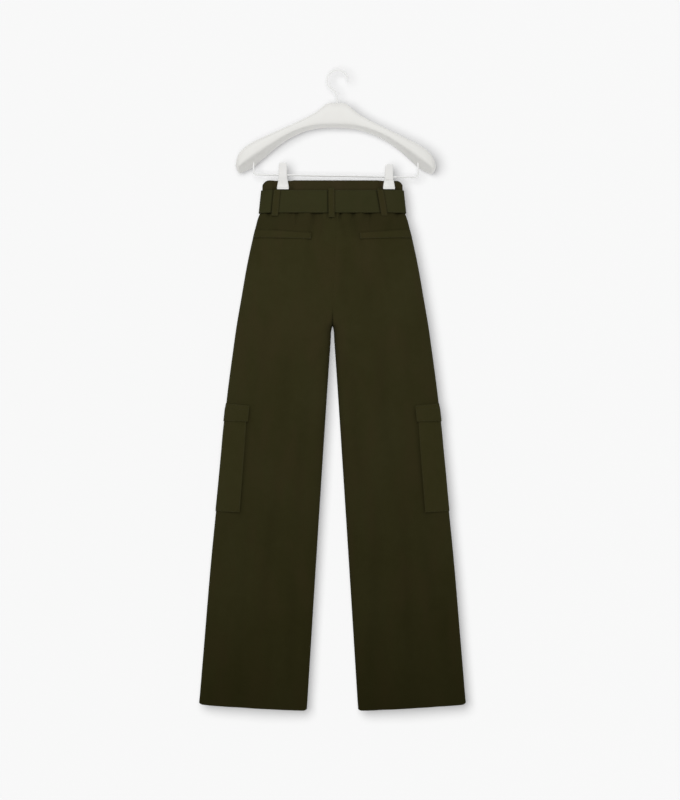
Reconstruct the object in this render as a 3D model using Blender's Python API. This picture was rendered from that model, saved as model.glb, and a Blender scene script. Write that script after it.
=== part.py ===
"""Cargo pants on a clip hanger, as separate closed solids. Metres, +Z up.

The back of the trousers faces -Y. The origin is the inner top of the hook, where a rail carries it.
"""

import math
from collections import namedtuple

import bmesh
import bpy
import numpy as np
from mathutils import Matrix

# Cloth and seams
SEAM = 0.0003
PANEL_WALL = 0.0015
BAND_WALL = 0.0018
BELT_WALL = 0.002
PATCH_WALL = 0.0011
LOOP_WALL = 0.0012

# Heights, from the hook's inner top, and the trousers' centre line
CENTRE_X = -0.0106
WAIST_TOP = -0.2345
BAND_SEAM = -0.298
BELT_TOP = -0.2555
BELT_BOTTOM = -0.304
SEAT_TURN = -0.498
CROTCH = -0.544
HEM = -1.348
HEM_DROP = 0.0135

# Beside the centre seam the seat turns into the legs over a longer height than at the seam itself
FORK_SHARE = 0.12
FORK_FADE = 0.05

# How close to the side seam the cloth between a clip's jaws still rounds
GRIP_TURN = 0.005

# The corner of the waistband that droops beside each end: how far, over what reach, how roundly
CORNER = 0.0095
CORNER_REACH = 0.017
CORNER_POWER = 2.4

# How squarely a wall turns into its seams: 2 is an ellipse
BEND_POWER = 2.4

# Sections of the trousers. half_width: centre line to side seam. back, front: how far each wall
# stands from the middle plane. bend: the share of the panel that rounds into the side seam.
Section = namedtuple("Section", "height half_width back front bend")
SECTIONS = (
    Section(-0.2345, 0.1494, 0.0090, 0.0080, 0.10),
    Section(-0.255, 0.1496, 0.0095, 0.0085, 0.11),
    Section(-0.298, 0.1540, 0.0132, 0.0115, 0.18),
    Section(-0.304, 0.1547, 0.0138, 0.0120, 0.19),
    Section(-0.312, 0.1578, 0.0170, 0.0145, 0.22),
    Section(-0.340, 0.1654, 0.0225, 0.0185, 0.30),
    Section(-0.404, 0.1799, 0.0290, 0.0240, 0.42),
    Section(-0.489, 0.1950, 0.0300, 0.0260, 0.50),
    Section(-0.544, 0.2044, 0.0280, 0.0255, 0.50),
    Section(-0.595, 0.2116, 0.0275, 0.0255, 0.50),
    Section(-0.701, 0.2254, 0.0255, 0.0240, 0.50),
    Section(-0.807, 0.2353, 0.0230, 0.0225, 0.50),
    Section(-0.914, 0.2458, 0.0205, 0.0200, 0.50),
    Section(-1.041, 0.2584, 0.0180, 0.0175, 0.50),
    Section(-1.211, 0.2727, 0.0155, 0.0155, 0.50),
    Section(-1.348, 0.2841, 0.0145, 0.0145, 0.50),
)

# The inner edge of a leg. gap: half of the gap between the legs. bend: the share of the leg that
# rounds into the inseam.
Inseam = namedtuple("Inseam", "height gap bend")
INSEAM = (
    Inseam(-0.544, 0.0000, 0.15),
    Inseam(-0.550, 0.0018, 0.16),
    Inseam(-0.574, 0.0036, 0.20),
    Inseam(-0.701, 0.0123, 0.38),
    Inseam(-0.914, 0.0262, 0.50),
    Inseam(-1.126, 0.0397, 0.50),
    Inseam(-1.360, 0.0543, 0.50),
)

# Troughs pressed into the cloth. across: from the centre line. top, fade: where it starts and
# how far below that it has gone. rise: how far above its top it has gone.
Fold = namedtuple("Fold", "across top fade rise width depth")
BACK_FOLDS = (
    Fold(-0.143, -0.298, 0.055, 0.01, 0.012, 0.0030),
    Fold(-0.085, -0.298, 0.045, 0.01, 0.009, 0.0026),
    Fold(-0.036, -0.298, 0.060, 0.01, 0.010, 0.0030),
    Fold(-0.009, -0.298, 0.030, 0.01, 0.006, 0.0022),
    Fold(0.008, -0.298, 0.030, 0.01, 0.006, 0.0022),
    Fold(0.037, -0.298, 0.065, 0.01, 0.009, 0.0028),
    Fold(0.074, -0.298, 0.050, 0.01, 0.011, 0.0030),
    Fold(0.142, -0.298, 0.045, 0.01, 0.012, 0.0026),
    Fold(-0.062, -0.640, 0.340, 0.18, 0.026, 0.0030),
    Fold(-0.148, -0.900, 0.300, 0.25, 0.030, 0.0022),
    Fold(0.058, -0.470, 0.300, 0.11, 0.024, 0.0028),
    Fold(0.150, -0.760, 0.420, 0.20, 0.030, 0.0026),
)
FRONT_FOLDS = (
    Fold(-0.118, -0.298, 0.060, 0.01, 0.011, 0.0024),
    Fold(-0.060, -0.298, 0.070, 0.01, 0.010, 0.0026),
    Fold(0.055, -0.298, 0.065, 0.01, 0.010, 0.0026),
    Fold(0.112, -0.298, 0.055, 0.01, 0.011, 0.0022),
    Fold(-0.110, -0.700, 0.360, 0.22, 0.028, 0.0026),
    Fold(0.105, -0.640, 0.400, 0.15, 0.028, 0.0028),
)

# Belt loops. top_x, bottom_x: from the centre line. layers: how many belt layers it spans.
Loop = namedtuple("Loop", "name face top_x bottom_x width top bottom layers")
LOOPS = (
    Loop("loop_back_left", -1, -0.1167, -0.1222, 0.0140, -0.2510, -0.3110, 1),
    Loop("loop_back_centre", -1, -0.0023, -0.0017, 0.0130, -0.2500, -0.3140, 1),
    Loop("loop_back_right", -1, 0.1003, 0.1105, 0.0130, -0.2500, -0.3110, 1),
    Loop("loop_front_left", 1, -0.0720, -0.0730, 0.0120, -0.2500, -0.3110, 1),
    Loop("loop_front_right", 1, 0.0720, 0.0730, 0.0120, -0.2500, -0.3110, 2),
)

# The loops' stitched ends: how far up the lower one reaches, and how far each lies off the cloth
LOOP_TACK = 0.0024
TOP_TACK_LIFT = 0.0011
BOTTOM_TACK_LIFT = 0.0009

# How far the outer side of a loop lies above its inner side where it turns
LOOP_OVER_TOP = 0.0009
LOOP_UNDER_BELT = -0.0006
LOOP_AT_TACK = -0.0004

# How far the fly clears the belt's lower edge
EDGE_CLEAR = 0.0007

# Welts on the back: how far each starts from the centre line, and the heights of both edges at the
# inner and the outer end
WELT_START = {"welt_left": 0.0434, "welt_right": 0.0570}
WELT_TOP = (-0.347, -0.339)
WELT_BOTTOM = (-0.361, -0.3575)

# Cargo pockets, on the side seams. Reaches are measured across from the side seam.
FLAP_TOP = -0.712
FLAP_BOTTOM = -0.746
BAG_TOP = -0.730
BAG_BOTTOM = -0.937
BAG_BACK = 0.048
BAG_FRONT = 0.104
FLAP_OVERLAP = 0.004
BAG_LIFT = 0.0022
BAG_LIFT_TOP = 0.55
FLAP_STEP = 0.0035
EDGE_SHARE = 0.95

# Fly placket, on the front
FLY_WIDTH = 0.038
FLY_BOTTOM = -0.470
FLY_CURVE = 0.030
FLY_END_SHARE = 0.25

# The belt, the slide buckle at the front and the belt's two ends there
BELT_GAP = 0.0008
BELT_LAYER = BELT_WALL + SEAM
BUCKLE_GAP = 0.0054
BUCKLE_WALL = 0.003
BUCKLE_WIDTH = 0.056
BUCKLE_HEIGHT = 0.062
BUCKLE_BAR = 0.004
BUCKLE_CORNER = 0.006
SLOT_CORNER = 0.002
SECOND_LAYER = BELT_GAP + BELT_LAYER
OVER_BAR = BUCKLE_GAP + BUCKLE_WALL + SEAM
STRAP_STEP = 0.0165
FRONT_SHARE = 0.3

# Where the belt's ends change layer. place: from the centre line. lift: off the cloth.
Strap = namedtuple("Strap", "place lift")
TONGUE = (
    Strap(-0.034, BELT_GAP),
    Strap(-0.026, BELT_GAP),
    Strap(-0.006, OVER_BAR),
    Strap(0.006, OVER_BAR),
    Strap(0.022, SECOND_LAYER),
    Strap(0.104, SECOND_LAYER),
)
FIXED_END = (
    Strap(-0.004, SECOND_LAYER),
    Strap(0.012, BELT_GAP),
    Strap(0.034, BELT_GAP),
)

# Clips: place across, from the hook, and the height of the jaw's bottom edge
Clip = namedtuple("Clip", "name place bottom")
CLIPS = (Clip("clip_left", -0.1160, -0.2536), Clip("clip_right", 0.1096, -0.2533))
CLIP_FLAT = 0.0135
CLIP_EASE = 0.013
CLIP_WALL = 0.0026
CLIP_FADE = -0.298
CLIP_CHAMFER = 0.0009
CLIP_SHOULDER = 0.6
BARREL = 0.0045
BARREL_HALF = 0.0075

# A clip's lever. height: from the bar. spread: inner face from the middle plane.
Lever = namedtuple("Lever", "height spread width")
LEVER = (
    Lever(0.0250, 0.0086, 0.0110),
    Lever(0.0225, 0.0080, 0.0155),
    Lever(0.0160, 0.0066, 0.0174),
    Lever(0.0060, 0.0051, 0.0174),
    Lever(0.0000, 0.0049, 0.0174),
    Lever(-0.0070, 0.0042, 0.0180),
)

# A clip's jaw, on the waistband. height: from the jaw's bottom edge. Its lip stands off, over the
# belt loops' ends.
JAW_SPREAD = SEAM / 2.0 + BAND_WALL + SEAM
JAW = (
    Lever(0.0190, JAW_SPREAD, 0.0204),
    Lever(0.0120, JAW_SPREAD, 0.0232),
    Lever(0.0062, JAW_SPREAD, 0.0252),
    Lever(0.0034, 0.0052, 0.0256),
    Lever(0.0000, 0.0058, 0.0250),
)

# Hanger, upright and centred on the hook. It hangs turned by HANGER_TILT.
HANGER_TILT = math.radians(1.0)
WIRE = 0.002
BAR_HEIGHT = -0.224
BAR_HALF = 0.175
BAR_BEND = 0.008
SOCKET = 0.008
UNDERSIDE = -0.198
HOOK_RADIUS = 0.022
HOOK_END = math.radians(-6)
HOOK_LEAVE = math.radians(205)
HOOK_STEM = ((-0.0170, -0.0330), (-0.0085, -0.0405), (-0.0022, -0.0490), (0.0, -0.0590))

# along: from the middle. top, ridge: the front face. heel: the rear bottom edge.
Arm = namedtuple("Arm", "along top ridge heel depth")
ARM = (
    Arm(0.000, -0.0700, -0.1160, -0.1215, 0.026),
    Arm(0.018, -0.0700, -0.1162, -0.1217, 0.026),
    Arm(0.028, -0.0762, -0.1168, -0.1222, 0.027),
    Arm(0.040, -0.0868, -0.1182, -0.1235, 0.028),
    Arm(0.064, -0.1020, -0.1240, -0.1285, 0.031),
    Arm(0.085, -0.1128, -0.1320, -0.1370, 0.034),
    Arm(0.108, -0.1238, -0.1440, -0.1500, 0.038),
    Arm(0.130, -0.1340, -0.1580, -0.1670, 0.041),
    Arm(0.155, -0.1458, -0.1745, -0.1895, 0.044),
    Arm(0.180, -0.1585, -0.1920, -0.2110, 0.046),
    Arm(0.196, -0.1700, -0.2035, -0.2185, 0.044),
    Arm(0.206, -0.1810, -0.2105, -0.2215, 0.037),
    Arm(0.213, -0.1950, -0.2110, -0.2165, 0.022),
)
# How round the arm's section is above and below its middle: 1 is an oval, 0 is square
ARM_ROUND_TOP = 0.62
ARM_ROUND_BOTTOM = 0.40

# Mesh steps
PANEL_COLUMNS = 16
UPPER_ROWS = 10
SEAT_ROWS = 5
LEG_ROWS = 13
ARM_RING = 16
SHARE_CLEAR = 0.02
LEVEL_CLEAR = 0.006
BAND_CLEAR = 0.005
CENTRE_SHARE = 1e-6

# Colours, linear
OLIVE = (0.030, 0.028, 0.010)
OLIVE_BELT = (0.034, 0.032, 0.013)
OLIVE_PATCH = (0.029, 0.027, 0.011)
WHITE = (0.80, 0.79, 0.76)
DARK_METAL = (0.05, 0.05, 0.045)


def clear_scene():
    for thing in list(bpy.data.objects):
        bpy.data.objects.remove(thing, do_unlink=True)


def collection(name):
    made = bpy.data.collections.new(name)
    bpy.context.scene.collection.children.link(made)
    return made


def material(name, colour, roughness, metallic=0.0):
    made = bpy.data.materials.new(name)
    made.use_nodes = True
    shader = made.node_tree.nodes["Principled BSDF"]
    shader.inputs["Base Color"].default_value = (*colour, 1.0)
    shader.inputs["Roughness"].default_value = roughness
    shader.inputs["Metallic"].default_value = metallic
    made.diffuse_color = (*colour, 1.0)
    return made


def keep(name, mesh, colour, parts):
    """Makes the bmesh an object of that name, with a material of its own."""
    bmesh.ops.recalc_face_normals(mesh, faces=mesh.faces)
    data = bpy.data.meshes.new(name)
    mesh.to_mesh(data)
    mesh.free()
    data.materials.append(material(name, *colour))
    data.shade_smooth()
    data.set_sharp_from_angle(angle=math.radians(40))
    made = bpy.data.objects.new(name, data)
    parts.objects.link(made)
    return made


def ease(start, end, value):
    share = np.clip((value - start) / (end - start), 0.0, 1.0)
    return share * share * (3.0 - 2.0 * share)


def curve_through(keys, values, wanted):
    """A smooth curve through the values, read at the wanted keys. The keys rise."""
    keys = np.array(keys)
    values = np.array(values)
    slopes = np.gradient(values, keys)
    wanted = np.clip(wanted, keys[0], keys[-1])
    index = np.clip(np.searchsorted(keys, wanted) - 1, 0, len(keys) - 2)
    step = keys[index + 1] - keys[index]
    share = (wanted - keys[index]) / step
    rest = 1.0 - share
    start = (1.0 + 2.0 * share) * values[index] + share * step * slopes[index]
    end = (3.0 - 2.0 * share) * values[index + 1] - rest * step * slopes[index + 1]
    return rest * rest * start + share * share * end


def read(table, column, heights):
    """A column of a table whose rows run downwards, at any heights."""
    rows = table[::-1]
    keys = [row.height for row in rows]
    return curve_through(keys, [getattr(row, column) for row in rows], heights)


def turned(share):
    """Rises from 0 to 1 as a wall turns out of its seam."""
    rest = 1.0 - np.clip(share, 0.0, 1.0)
    return (1.0 - rest**BEND_POWER) ** (1.0 / BEND_POWER)


def leg_drop(height):
    """How far the inner end of a row lies below its outer end."""
    return HEM_DROP * np.clip((CROTCH - height) / (CROTCH - HEM), 0.0, 1.0)


def row_width(height):
    """Side seam to centre line, or to inseam."""
    gap = np.where(height < CROTCH, read(INSEAM, "gap", height - leg_drop(height)), 0.0)
    return read(SECTIONS, "half_width", height) - gap


def cloth(face, across, height, plain=False):
    """Outer points of the cloth. face: -1 back, 1 front. across: -1 left side seam, 0 centre, 1 right.

    height is the row's height at its side seam. plain leaves out the folds and the clips' grip.
    The result has x, y, z on its last axis.
    """
    across, height = np.broadcast_arrays(across, height)
    side = np.where(across < 0.0, -1.0, 1.0)
    share = 1.0 - np.abs(across)
    half_width = read(SECTIONS, "half_width", height)
    from_side = share * row_width(height)
    x = side * (half_width - from_side)

    reach = read(SECTIONS, "back" if face < 0 else "front", height)
    bend = read(SECTIONS, "bend", height)
    under = np.clip((SEAT_TURN - height) / (SEAT_TURN - CROTCH), 0.0, 1.0)
    fork = np.sqrt(1.0 - under * under)
    fork_beside = 1.0 - ease(SEAT_TURN + FORK_FADE, CROTCH - FORK_FADE, height)
    fork = fork + (fork_beside - fork) * ease(0.0, FORK_SHARE, 1.0 - share)
    inseam_turn = turned((1.0 - share) / read(INSEAM, "bend", height))
    depth = reach * turned(share / bend) * (fork + (1.0 - fork) * inseam_turn)

    for fold in () if plain else (BACK_FOLDS if face < 0 else FRONT_FOLDS):
        length = ease(fold.top - fold.fade, fold.top, height)
        length = length * ease(fold.top + fold.rise, fold.top, height)
        trough = fold.depth * np.exp(-(((x - fold.across) / fold.width) ** 2)) * length
        depth = depth - np.where(height < BAND_SEAM, trough, 0.0) * turned(share / bend)

    flat = BAND_WALL * turned(from_side / GRIP_TURN)
    for clip in () if plain else CLIPS:
        near = np.abs(x - (clip.place - CENTRE_X)) - CLIP_FLAT
        grip = (1.0 - ease(0.0, CLIP_EASE, near)) * ease(CLIP_FADE, clip.bottom, height)
        depth = depth + (np.minimum(flat, depth) - depth) * grip

    y = face * (SEAM / 2.0 + np.maximum(depth, 0.0))
    z = height - leg_drop(height) * share
    return np.stack([CENTRE_X + x, y, z], axis=-1)


def wall_mesh(outer, inner):
    """A closed wall between two grids of points, [row, column, xyz]."""
    rows, columns = outer.shape[:2]
    mesh = bmesh.new()
    grids = []
    for points in (outer, inner):
        grid = [[mesh.verts.new(point) for point in row] for row in points]
        for upper, lower in zip(grid[:-1], grid[1:]):
            for left in range(columns - 1):
                mesh.faces.new((upper[left], upper[left + 1], lower[left + 1], lower[left]))
        grids.append(grid)
    border = [(0, column) for column in range(columns)]
    border += [(row, columns - 1) for row in range(1, rows)]
    border += [(rows - 1, column) for column in range(columns - 2, -1, -1)]
    border += [(row, 0) for row in range(rows - 2, 0, -1)]
    for here, after in zip(border, border[1:] + border[:1]):
        mesh.faces.new([grids[0][here[0]][here[1]], grids[0][after[0]][after[1]],
                        grids[1][after[0]][after[1]], grids[1][here[0]][here[1]]])
    return mesh


def mirrored(points, axis):
    """Points reflected in the middle plane (axis 1) or in the plane through the centre line (axis 0)."""
    copy = points.copy()
    copy[..., axis] = (2.0 * CENTRE_X if axis == 0 else 0.0) - copy[..., axis]
    return copy


def moved_out(grid, distance, before=None, after=None):
    """The grid moved off the cloth, square to its rows, which run anticlockwise seen from above.

    before and after are the points that each row would go on to.
    """
    along = np.gradient(grid, axis=1)
    if before is not None:
        along[:, 0] = grid[:, 1] - before
    if after is not None:
        along[:, -1] = after - grid[:, -2]
    square = np.stack([along[..., 1], -along[..., 0], np.zeros(along.shape[:2])], axis=-1)
    square /= np.linalg.norm(square, axis=-1, keepdims=True)
    return grid + square * np.broadcast_to(distance, grid.shape[:2])[..., None]


def apart(points, face, side):
    """Keeps points on their own side of the middle plane and of the centre line."""
    points[..., 1] = face * np.maximum(face * points[..., 1], SEAM / 2.0)
    if side:
        off_centre = np.maximum(side * (points[..., 0] - CENTRE_X), SEAM / 2.0)
        points[..., 0] = CENTRE_X + side * off_centre
    return points


def panel_shares():
    """Shares of a panel from 0 to 1, closer together at both ends."""
    return (1.0 - np.cos(np.linspace(0.0, math.pi, PANEL_COLUMNS + 1))) / 2.0


def panel_levels():
    upper = np.linspace(0.0, 1.0, UPPER_ROWS + 1) ** 1.5
    seat = np.sin(np.linspace(0.0, math.pi / 2.0, SEAT_ROWS + 1))[1:]
    leg = (np.linspace(0.0, 1.0, LEG_ROWS + 1) ** 1.8)[1:]
    top = BAND_SEAM - SEAM
    return np.concatenate([top + (SEAT_TURN - top) * upper,
                           SEAT_TURN + (CROTCH - SEAT_TURN) * seat,
                           CROTCH + (HEM - CROTCH) * leg])


def levels_between(top, bottom):
    """The heights top and bottom, with the panels' own rows between them."""
    inside = [level for level in panel_levels() if bottom + LEVEL_CLEAR < level < top - LEVEL_CLEAR]
    return np.array([top, *inside, bottom])


def panel_inside(outer, face, centre_rows):
    """The inner grid of a panel. Its normals are true at the seams, as if the cloth ran on past them.

    Columns run from the centre line, or below the first centre_rows rows the inseam, to the side seam.
    """
    before = mirrored(outer[:, 1], 1)
    before[:centre_rows] = mirrored(outer[:centre_rows, 1], 0)
    wide = np.concatenate([before[:, None], outer, mirrored(outer[:, -2], 1)[:, None]], axis=1)
    normal = np.cross(wide[:, 2:] - wide[:, :-2], np.gradient(outer, axis=0))
    normal /= np.linalg.norm(normal, axis=-1, keepdims=True)
    normal *= face * np.sign(normal[-1, outer.shape[1] // 2, 1])
    return outer - normal * PANEL_WALL


def make_panels(parts):
    levels = panel_levels()[:, None]
    shares = np.maximum(panel_shares()[None, :], CENTRE_SHARE)
    for face, face_name in ((-1, "back"), (1, "front")):
        for side, side_name in ((-1, "left"), (1, "right")):
            outer = apart(cloth(face, side * shares, levels), face, side)
            inner = apart(panel_inside(outer, face, UPPER_ROWS + SEAT_ROWS), face, side)
            panel = wall_mesh(outer, inner)
            keep(f"{face_name}_{side_name}", panel, (OLIVE, 0.85), parts)


def band_places(start, end):
    """Places across the waist, with the clips' flat stretches among them."""
    waist = SECTIONS[0].half_width
    places = np.concatenate([-panel_shares(), panel_shares()])
    for clip in CLIPS:
        middle = (clip.place - CENTRE_X) / waist
        for edge in np.array([CLIP_FLAT, CLIP_FLAT + CLIP_EASE / 2.0, CLIP_FLAT + CLIP_EASE]) / waist:
            places = np.append(places, [middle - edge, middle + edge])
    places = np.unique(places[(places > start + BAND_CLEAR) & (places < end - BAND_CLEAR)])
    return np.array([start, *places[np.diff(places, prepend=-2.0) > BAND_CLEAR], end])


def make_waistband(parts):
    waist = SECTIONS[0].half_width
    fractions = np.array([0.0, 0.12, 0.32, 0.62, 1.0])[:, None]
    pieces = (("waistband_back", -1, -1.0, 1.0, 0),
              ("waistband_front_left", 1, -1.0, -CENTRE_SHARE, -1),
              ("waistband_front_right", 1, CENTRE_SHARE, 1.0, 1))
    for name, face, start, end, side in pieces:
        across = band_places(start, end)[None, ::-face]
        from_corner = np.clip((1.0 - np.abs(across)) * waist / CORNER_REACH, 0.0, 1.0)
        top = WAIST_TOP - CORNER * (1.0 - from_corner) ** CORNER_POWER
        outer = apart(cloth(face, across, top + (BAND_SEAM - top) * fractions), face, side)
        ends = [mirrored(outer[:, column], 1 if abs(across[0, place]) == 1.0 else 0)
                for column, place in ((1, 0), (-2, -1))]
        inner = apart(moved_out(outer, -BAND_WALL, *ends), face, side)
        keep(name, wall_mesh(outer, inner), (OLIVE, 0.85), parts)


def belt_ground(face, across):
    """The surface under the belt, straight from its top edge to its bottom edge, as three rows."""
    top, bottom = (cloth(face, across, height, plain=True) for height in (BELT_TOP, BELT_BOTTOM))
    return np.stack([top, (top + bottom) / 2.0, bottom])


def along_strap(turns):
    """Places on a belt end, at most STRAP_STEP apart, and how far each one stands off the cloth."""
    places = []
    for here, after in zip(turns[:-1], turns[1:]):
        steps = math.ceil((after.place - here.place) / STRAP_STEP)
        places += list(np.linspace(here.place, after.place, steps, endpoint=False))
    places = np.array([*places, turns[-1].place])
    return places, np.interp(places, [turn.place for turn in turns], [turn.lift for turn in turns])


def make_belt(parts):
    """One strip, once round from the tongue's end to the fixed end behind the buckle's middle bar."""
    waist = SECTIONS[0].half_width
    around = panel_shares()
    front = around[(around > FRONT_SHARE) & (around < 1.0)]
    tongue, tongue_lift = along_strap(TONGUE)
    fixed, fixed_lift = along_strap(FIXED_END)
    ground = np.concatenate([
        belt_ground(1, np.concatenate([tongue[::-1] / waist, -front])),
        belt_ground(-1, np.concatenate([-around[::-1], around[1:]])),
        belt_ground(1, np.concatenate([front[::-1], fixed[::-1] / waist])),
    ], axis=1)
    lift = np.full(ground.shape[1], BELT_GAP)
    lift[:len(tongue)] = tongue_lift[::-1]
    lift[-len(fixed):] = fixed_lift[::-1]
    outer = moved_out(ground, lift + BELT_WALL)
    keep("belt", wall_mesh(outer, moved_out(ground, lift)), (OLIVE_BELT, 0.8), parts)


def rounded_box(left, right, bottom, top, radius, steps=4):
    """Corner points of a rounded rectangle, anticlockwise."""
    corners = ((right, top, 0), (left, top, 1), (left, bottom, 2), (right, bottom, 3))
    points = []
    for corner_x, corner_y, quarter in corners:
        middle_x = corner_x - math.copysign(radius, corner_x - (left + right) / 2.0)
        middle_y = corner_y - math.copysign(radius, corner_y - (bottom + top) / 2.0)
        for step in range(steps + 1):
            angle = (quarter + step / steps) * math.pi / 2.0
            points.append((middle_x + radius * math.cos(angle), middle_y + radius * math.sin(angle)))
    return points


def make_buckle(parts):
    half_width = BUCKLE_WIDTH / 2.0
    half_height = BUCKLE_HEIGHT / 2.0
    bar = BUCKLE_BAR
    slot_height = half_height - bar
    outlines = (rounded_box(-half_width, half_width, -half_height, half_height, BUCKLE_CORNER),
                rounded_box(bar - half_width, -bar / 2.0, -slot_height, slot_height, SLOT_CORNER),
                rounded_box(bar / 2.0, half_width - bar, -slot_height, slot_height, SLOT_CORNER))
    curve = bpy.data.curves.new("belt_buckle", "CURVE")
    curve.dimensions = "2D"
    curve.fill_mode = "BOTH"
    curve.extrude = BUCKLE_WALL / 2.0
    for outline in outlines:
        spline = curve.splines.new("POLY")
        spline.points.add(len(outline) - 1)
        for point, (x, y) in zip(spline.points, outline):
            point.co = (x, y, 0.0, 1.0)
        spline.use_cyclic_u = True
    curve.materials.append(material("belt_buckle", DARK_METAL, 0.35, 1.0))
    buckle = bpy.data.objects.new("belt_buckle", curve)
    top, middle, bottom = belt_ground(1, np.array([0.0]))[:, 0]
    lean = math.atan2(bottom[1] - top[1], BELT_TOP - BELT_BOTTOM)
    out = BUCKLE_GAP + BUCKLE_WALL / 2.0
    buckle.location = (CENTRE_X, middle[1] + out * math.cos(lean), middle[2] + out * math.sin(lean))
    buckle.rotation_euler = (math.pi / 2.0 + lean, 0.0, 0.0)
    parts.objects.link(buckle)


def loop_row(loop, height, on_belt):
    """Points across a loop at that height, on the cloth or on the belt's ground."""
    share = (loop.top - height) / (loop.top - loop.bottom)
    middle = loop.top_x + (loop.bottom_x - loop.top_x) * share
    across = middle - loop.face * loop.width * np.array([-0.5, 0.0, 0.5])
    places = across / read(SECTIONS, "half_width", height)
    if not on_belt:
        return cloth(loop.face, places, height)
    top, _, bottom = belt_ground(loop.face, places)
    down = (BELT_TOP - height) / (BELT_TOP - BELT_BOTTOM)
    points = top + (bottom - top) * np.clip(down, 0.0, 1.0)
    points[:, 2] = height
    return points


def make_loops(parts):
    for loop in LOOPS:
        over_belt = BELT_GAP + loop.layers * BELT_LAYER
        rows = ((loop.top, False, TOP_TACK_LIFT, 0.0),
                (BELT_TOP + SEAM, False, TOP_TACK_LIFT, LOOP_WALL),
                (BELT_TOP + SEAM, True, over_belt, LOOP_OVER_TOP),
                ((BELT_TOP + BELT_BOTTOM) / 2.0, True, over_belt, 0.0),
                (BELT_BOTTOM - SEAM, True, over_belt, LOOP_UNDER_BELT),
                (loop.bottom + LOOP_TACK, False, BOTTOM_TACK_LIFT, LOOP_AT_TACK),
                (loop.bottom, False, BOTTOM_TACK_LIFT, 0.0))
        inner = np.array([loop_row(loop, height, on_belt) for height, on_belt, _, _ in rows])
        outer = np.array([loop_row(loop, height + above, on_belt) for height, on_belt, _, above in rows])
        lift = np.array([lift for _, _, lift, _ in rows])[:, None]
        walls = wall_mesh(moved_out(outer, lift + LOOP_WALL), moved_out(inner, lift))
        keep(loop.name, walls, (OLIVE, 0.85), parts)


def make_welts(parts):
    shares = panel_shares()
    for side, name in ((-1, "welt_left"), (1, "welt_right")):
        start = WELT_START[name] / read(SECTIONS, "half_width", WELT_TOP[0])
        places = np.array([start, *shares[shares > start + SHARE_CLEAR]])[:-1]
        along = (places - places[0]) / (places[-1] - places[0])
        top = WELT_TOP[0] + (WELT_TOP[1] - WELT_TOP[0]) * along
        bottom = WELT_BOTTOM[0] + (WELT_BOTTOM[1] - WELT_BOTTOM[0]) * along
        heights = np.stack([top, (top + bottom) / 2.0, bottom])
        ground = cloth(-1, np.broadcast_to(side * places, heights.shape), heights)[:, ::side]
        outer = moved_out(ground, SEAM + PATCH_WALL)
        keep(name, wall_mesh(outer, moved_out(ground, SEAM)), (OLIVE_PATCH, 0.85), parts)


def pocket_ground(side, levels, back, front):
    """Points round the side seam, anticlockwise, with each one's share of the way to its own edge."""
    shares = panel_shares()
    levels = np.asarray(levels)[:, None]
    back_edge = back / row_width(levels)
    front_edge = front / row_width(levels)
    back_shares = [back_edge, back_edge * EDGE_SHARE]
    back_shares += [np.full(levels.shape, share) for share in shares[::-1]
                    if share < back_edge.min() - SHARE_CLEAR]
    front_shares = [np.full(levels.shape, share) for share in shares[1:]
                    if share < front_edge.min() - SHARE_CLEAR]
    front_shares += [front_edge * EDGE_SHARE, front_edge]
    back_shares = np.concatenate(back_shares, axis=1)
    front_shares = np.concatenate(front_shares, axis=1)
    ground = np.concatenate([cloth(-1, side * (1.0 - back_shares), levels),
                             cloth(1, side * (1.0 - front_shares), levels)], axis=1)
    reach = np.concatenate([back_shares / back_edge, front_shares / front_edge], axis=1)
    return ground[:, ::side], reach[:, ::side]


def bag_lift(levels, reach):
    """How far the bag stands off the leg: least on the side seam, most at its edges low down."""
    down = ease(BAG_TOP, BAG_BOTTOM, np.asarray(levels)[:, None])
    return BAG_LIFT * (BAG_LIFT_TOP + (1.0 - BAG_LIFT_TOP) * down) * ease(0.0, 1.0, reach)


def make_cargo_pockets(parts):
    levels = levels_between(BAG_TOP, BAG_BOTTOM)
    levels = np.array([*levels[:-1], BAG_BOTTOM + 2.0 * PATCH_WALL, BAG_BOTTOM])
    flap_levels = np.array([FLAP_TOP, FLAP_TOP - FLAP_STEP, BAG_TOP + FLAP_STEP,
                            BAG_TOP - FLAP_STEP, FLAP_BOTTOM])
    for side, name in ((-1, "left"), (1, "right")):
        ground, reach = pocket_ground(side, levels, BAG_BACK, BAG_FRONT)
        lift = bag_lift(levels, reach)
        inner_lift = SEAM + lift
        inner_lift[:, [0, -1]] = SEAM
        inner_lift[-1] = SEAM
        outer = moved_out(ground, SEAM + lift + PATCH_WALL)
        bag = wall_mesh(outer, moved_out(ground, inner_lift))
        keep(f"cargo_bag_{name}", bag, (OLIVE_PATCH, 0.85), parts)

        flap_back = BAG_BACK + FLAP_OVERLAP
        flap_front = BAG_FRONT + FLAP_OVERLAP
        ground, reach = pocket_ground(side, flap_levels, flap_back, flap_front)
        over_bag = bag_lift(flap_levels, reach) + PATCH_WALL + SEAM
        lift = SEAM + over_bag * ease(FLAP_TOP, BAG_TOP + FLAP_STEP, flap_levels)[:, None]
        flap = wall_mesh(moved_out(ground, lift + PATCH_WALL), moved_out(ground, lift))
        keep(f"cargo_flap_{name}", flap, (OLIVE_PATCH, 0.85), parts)


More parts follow.
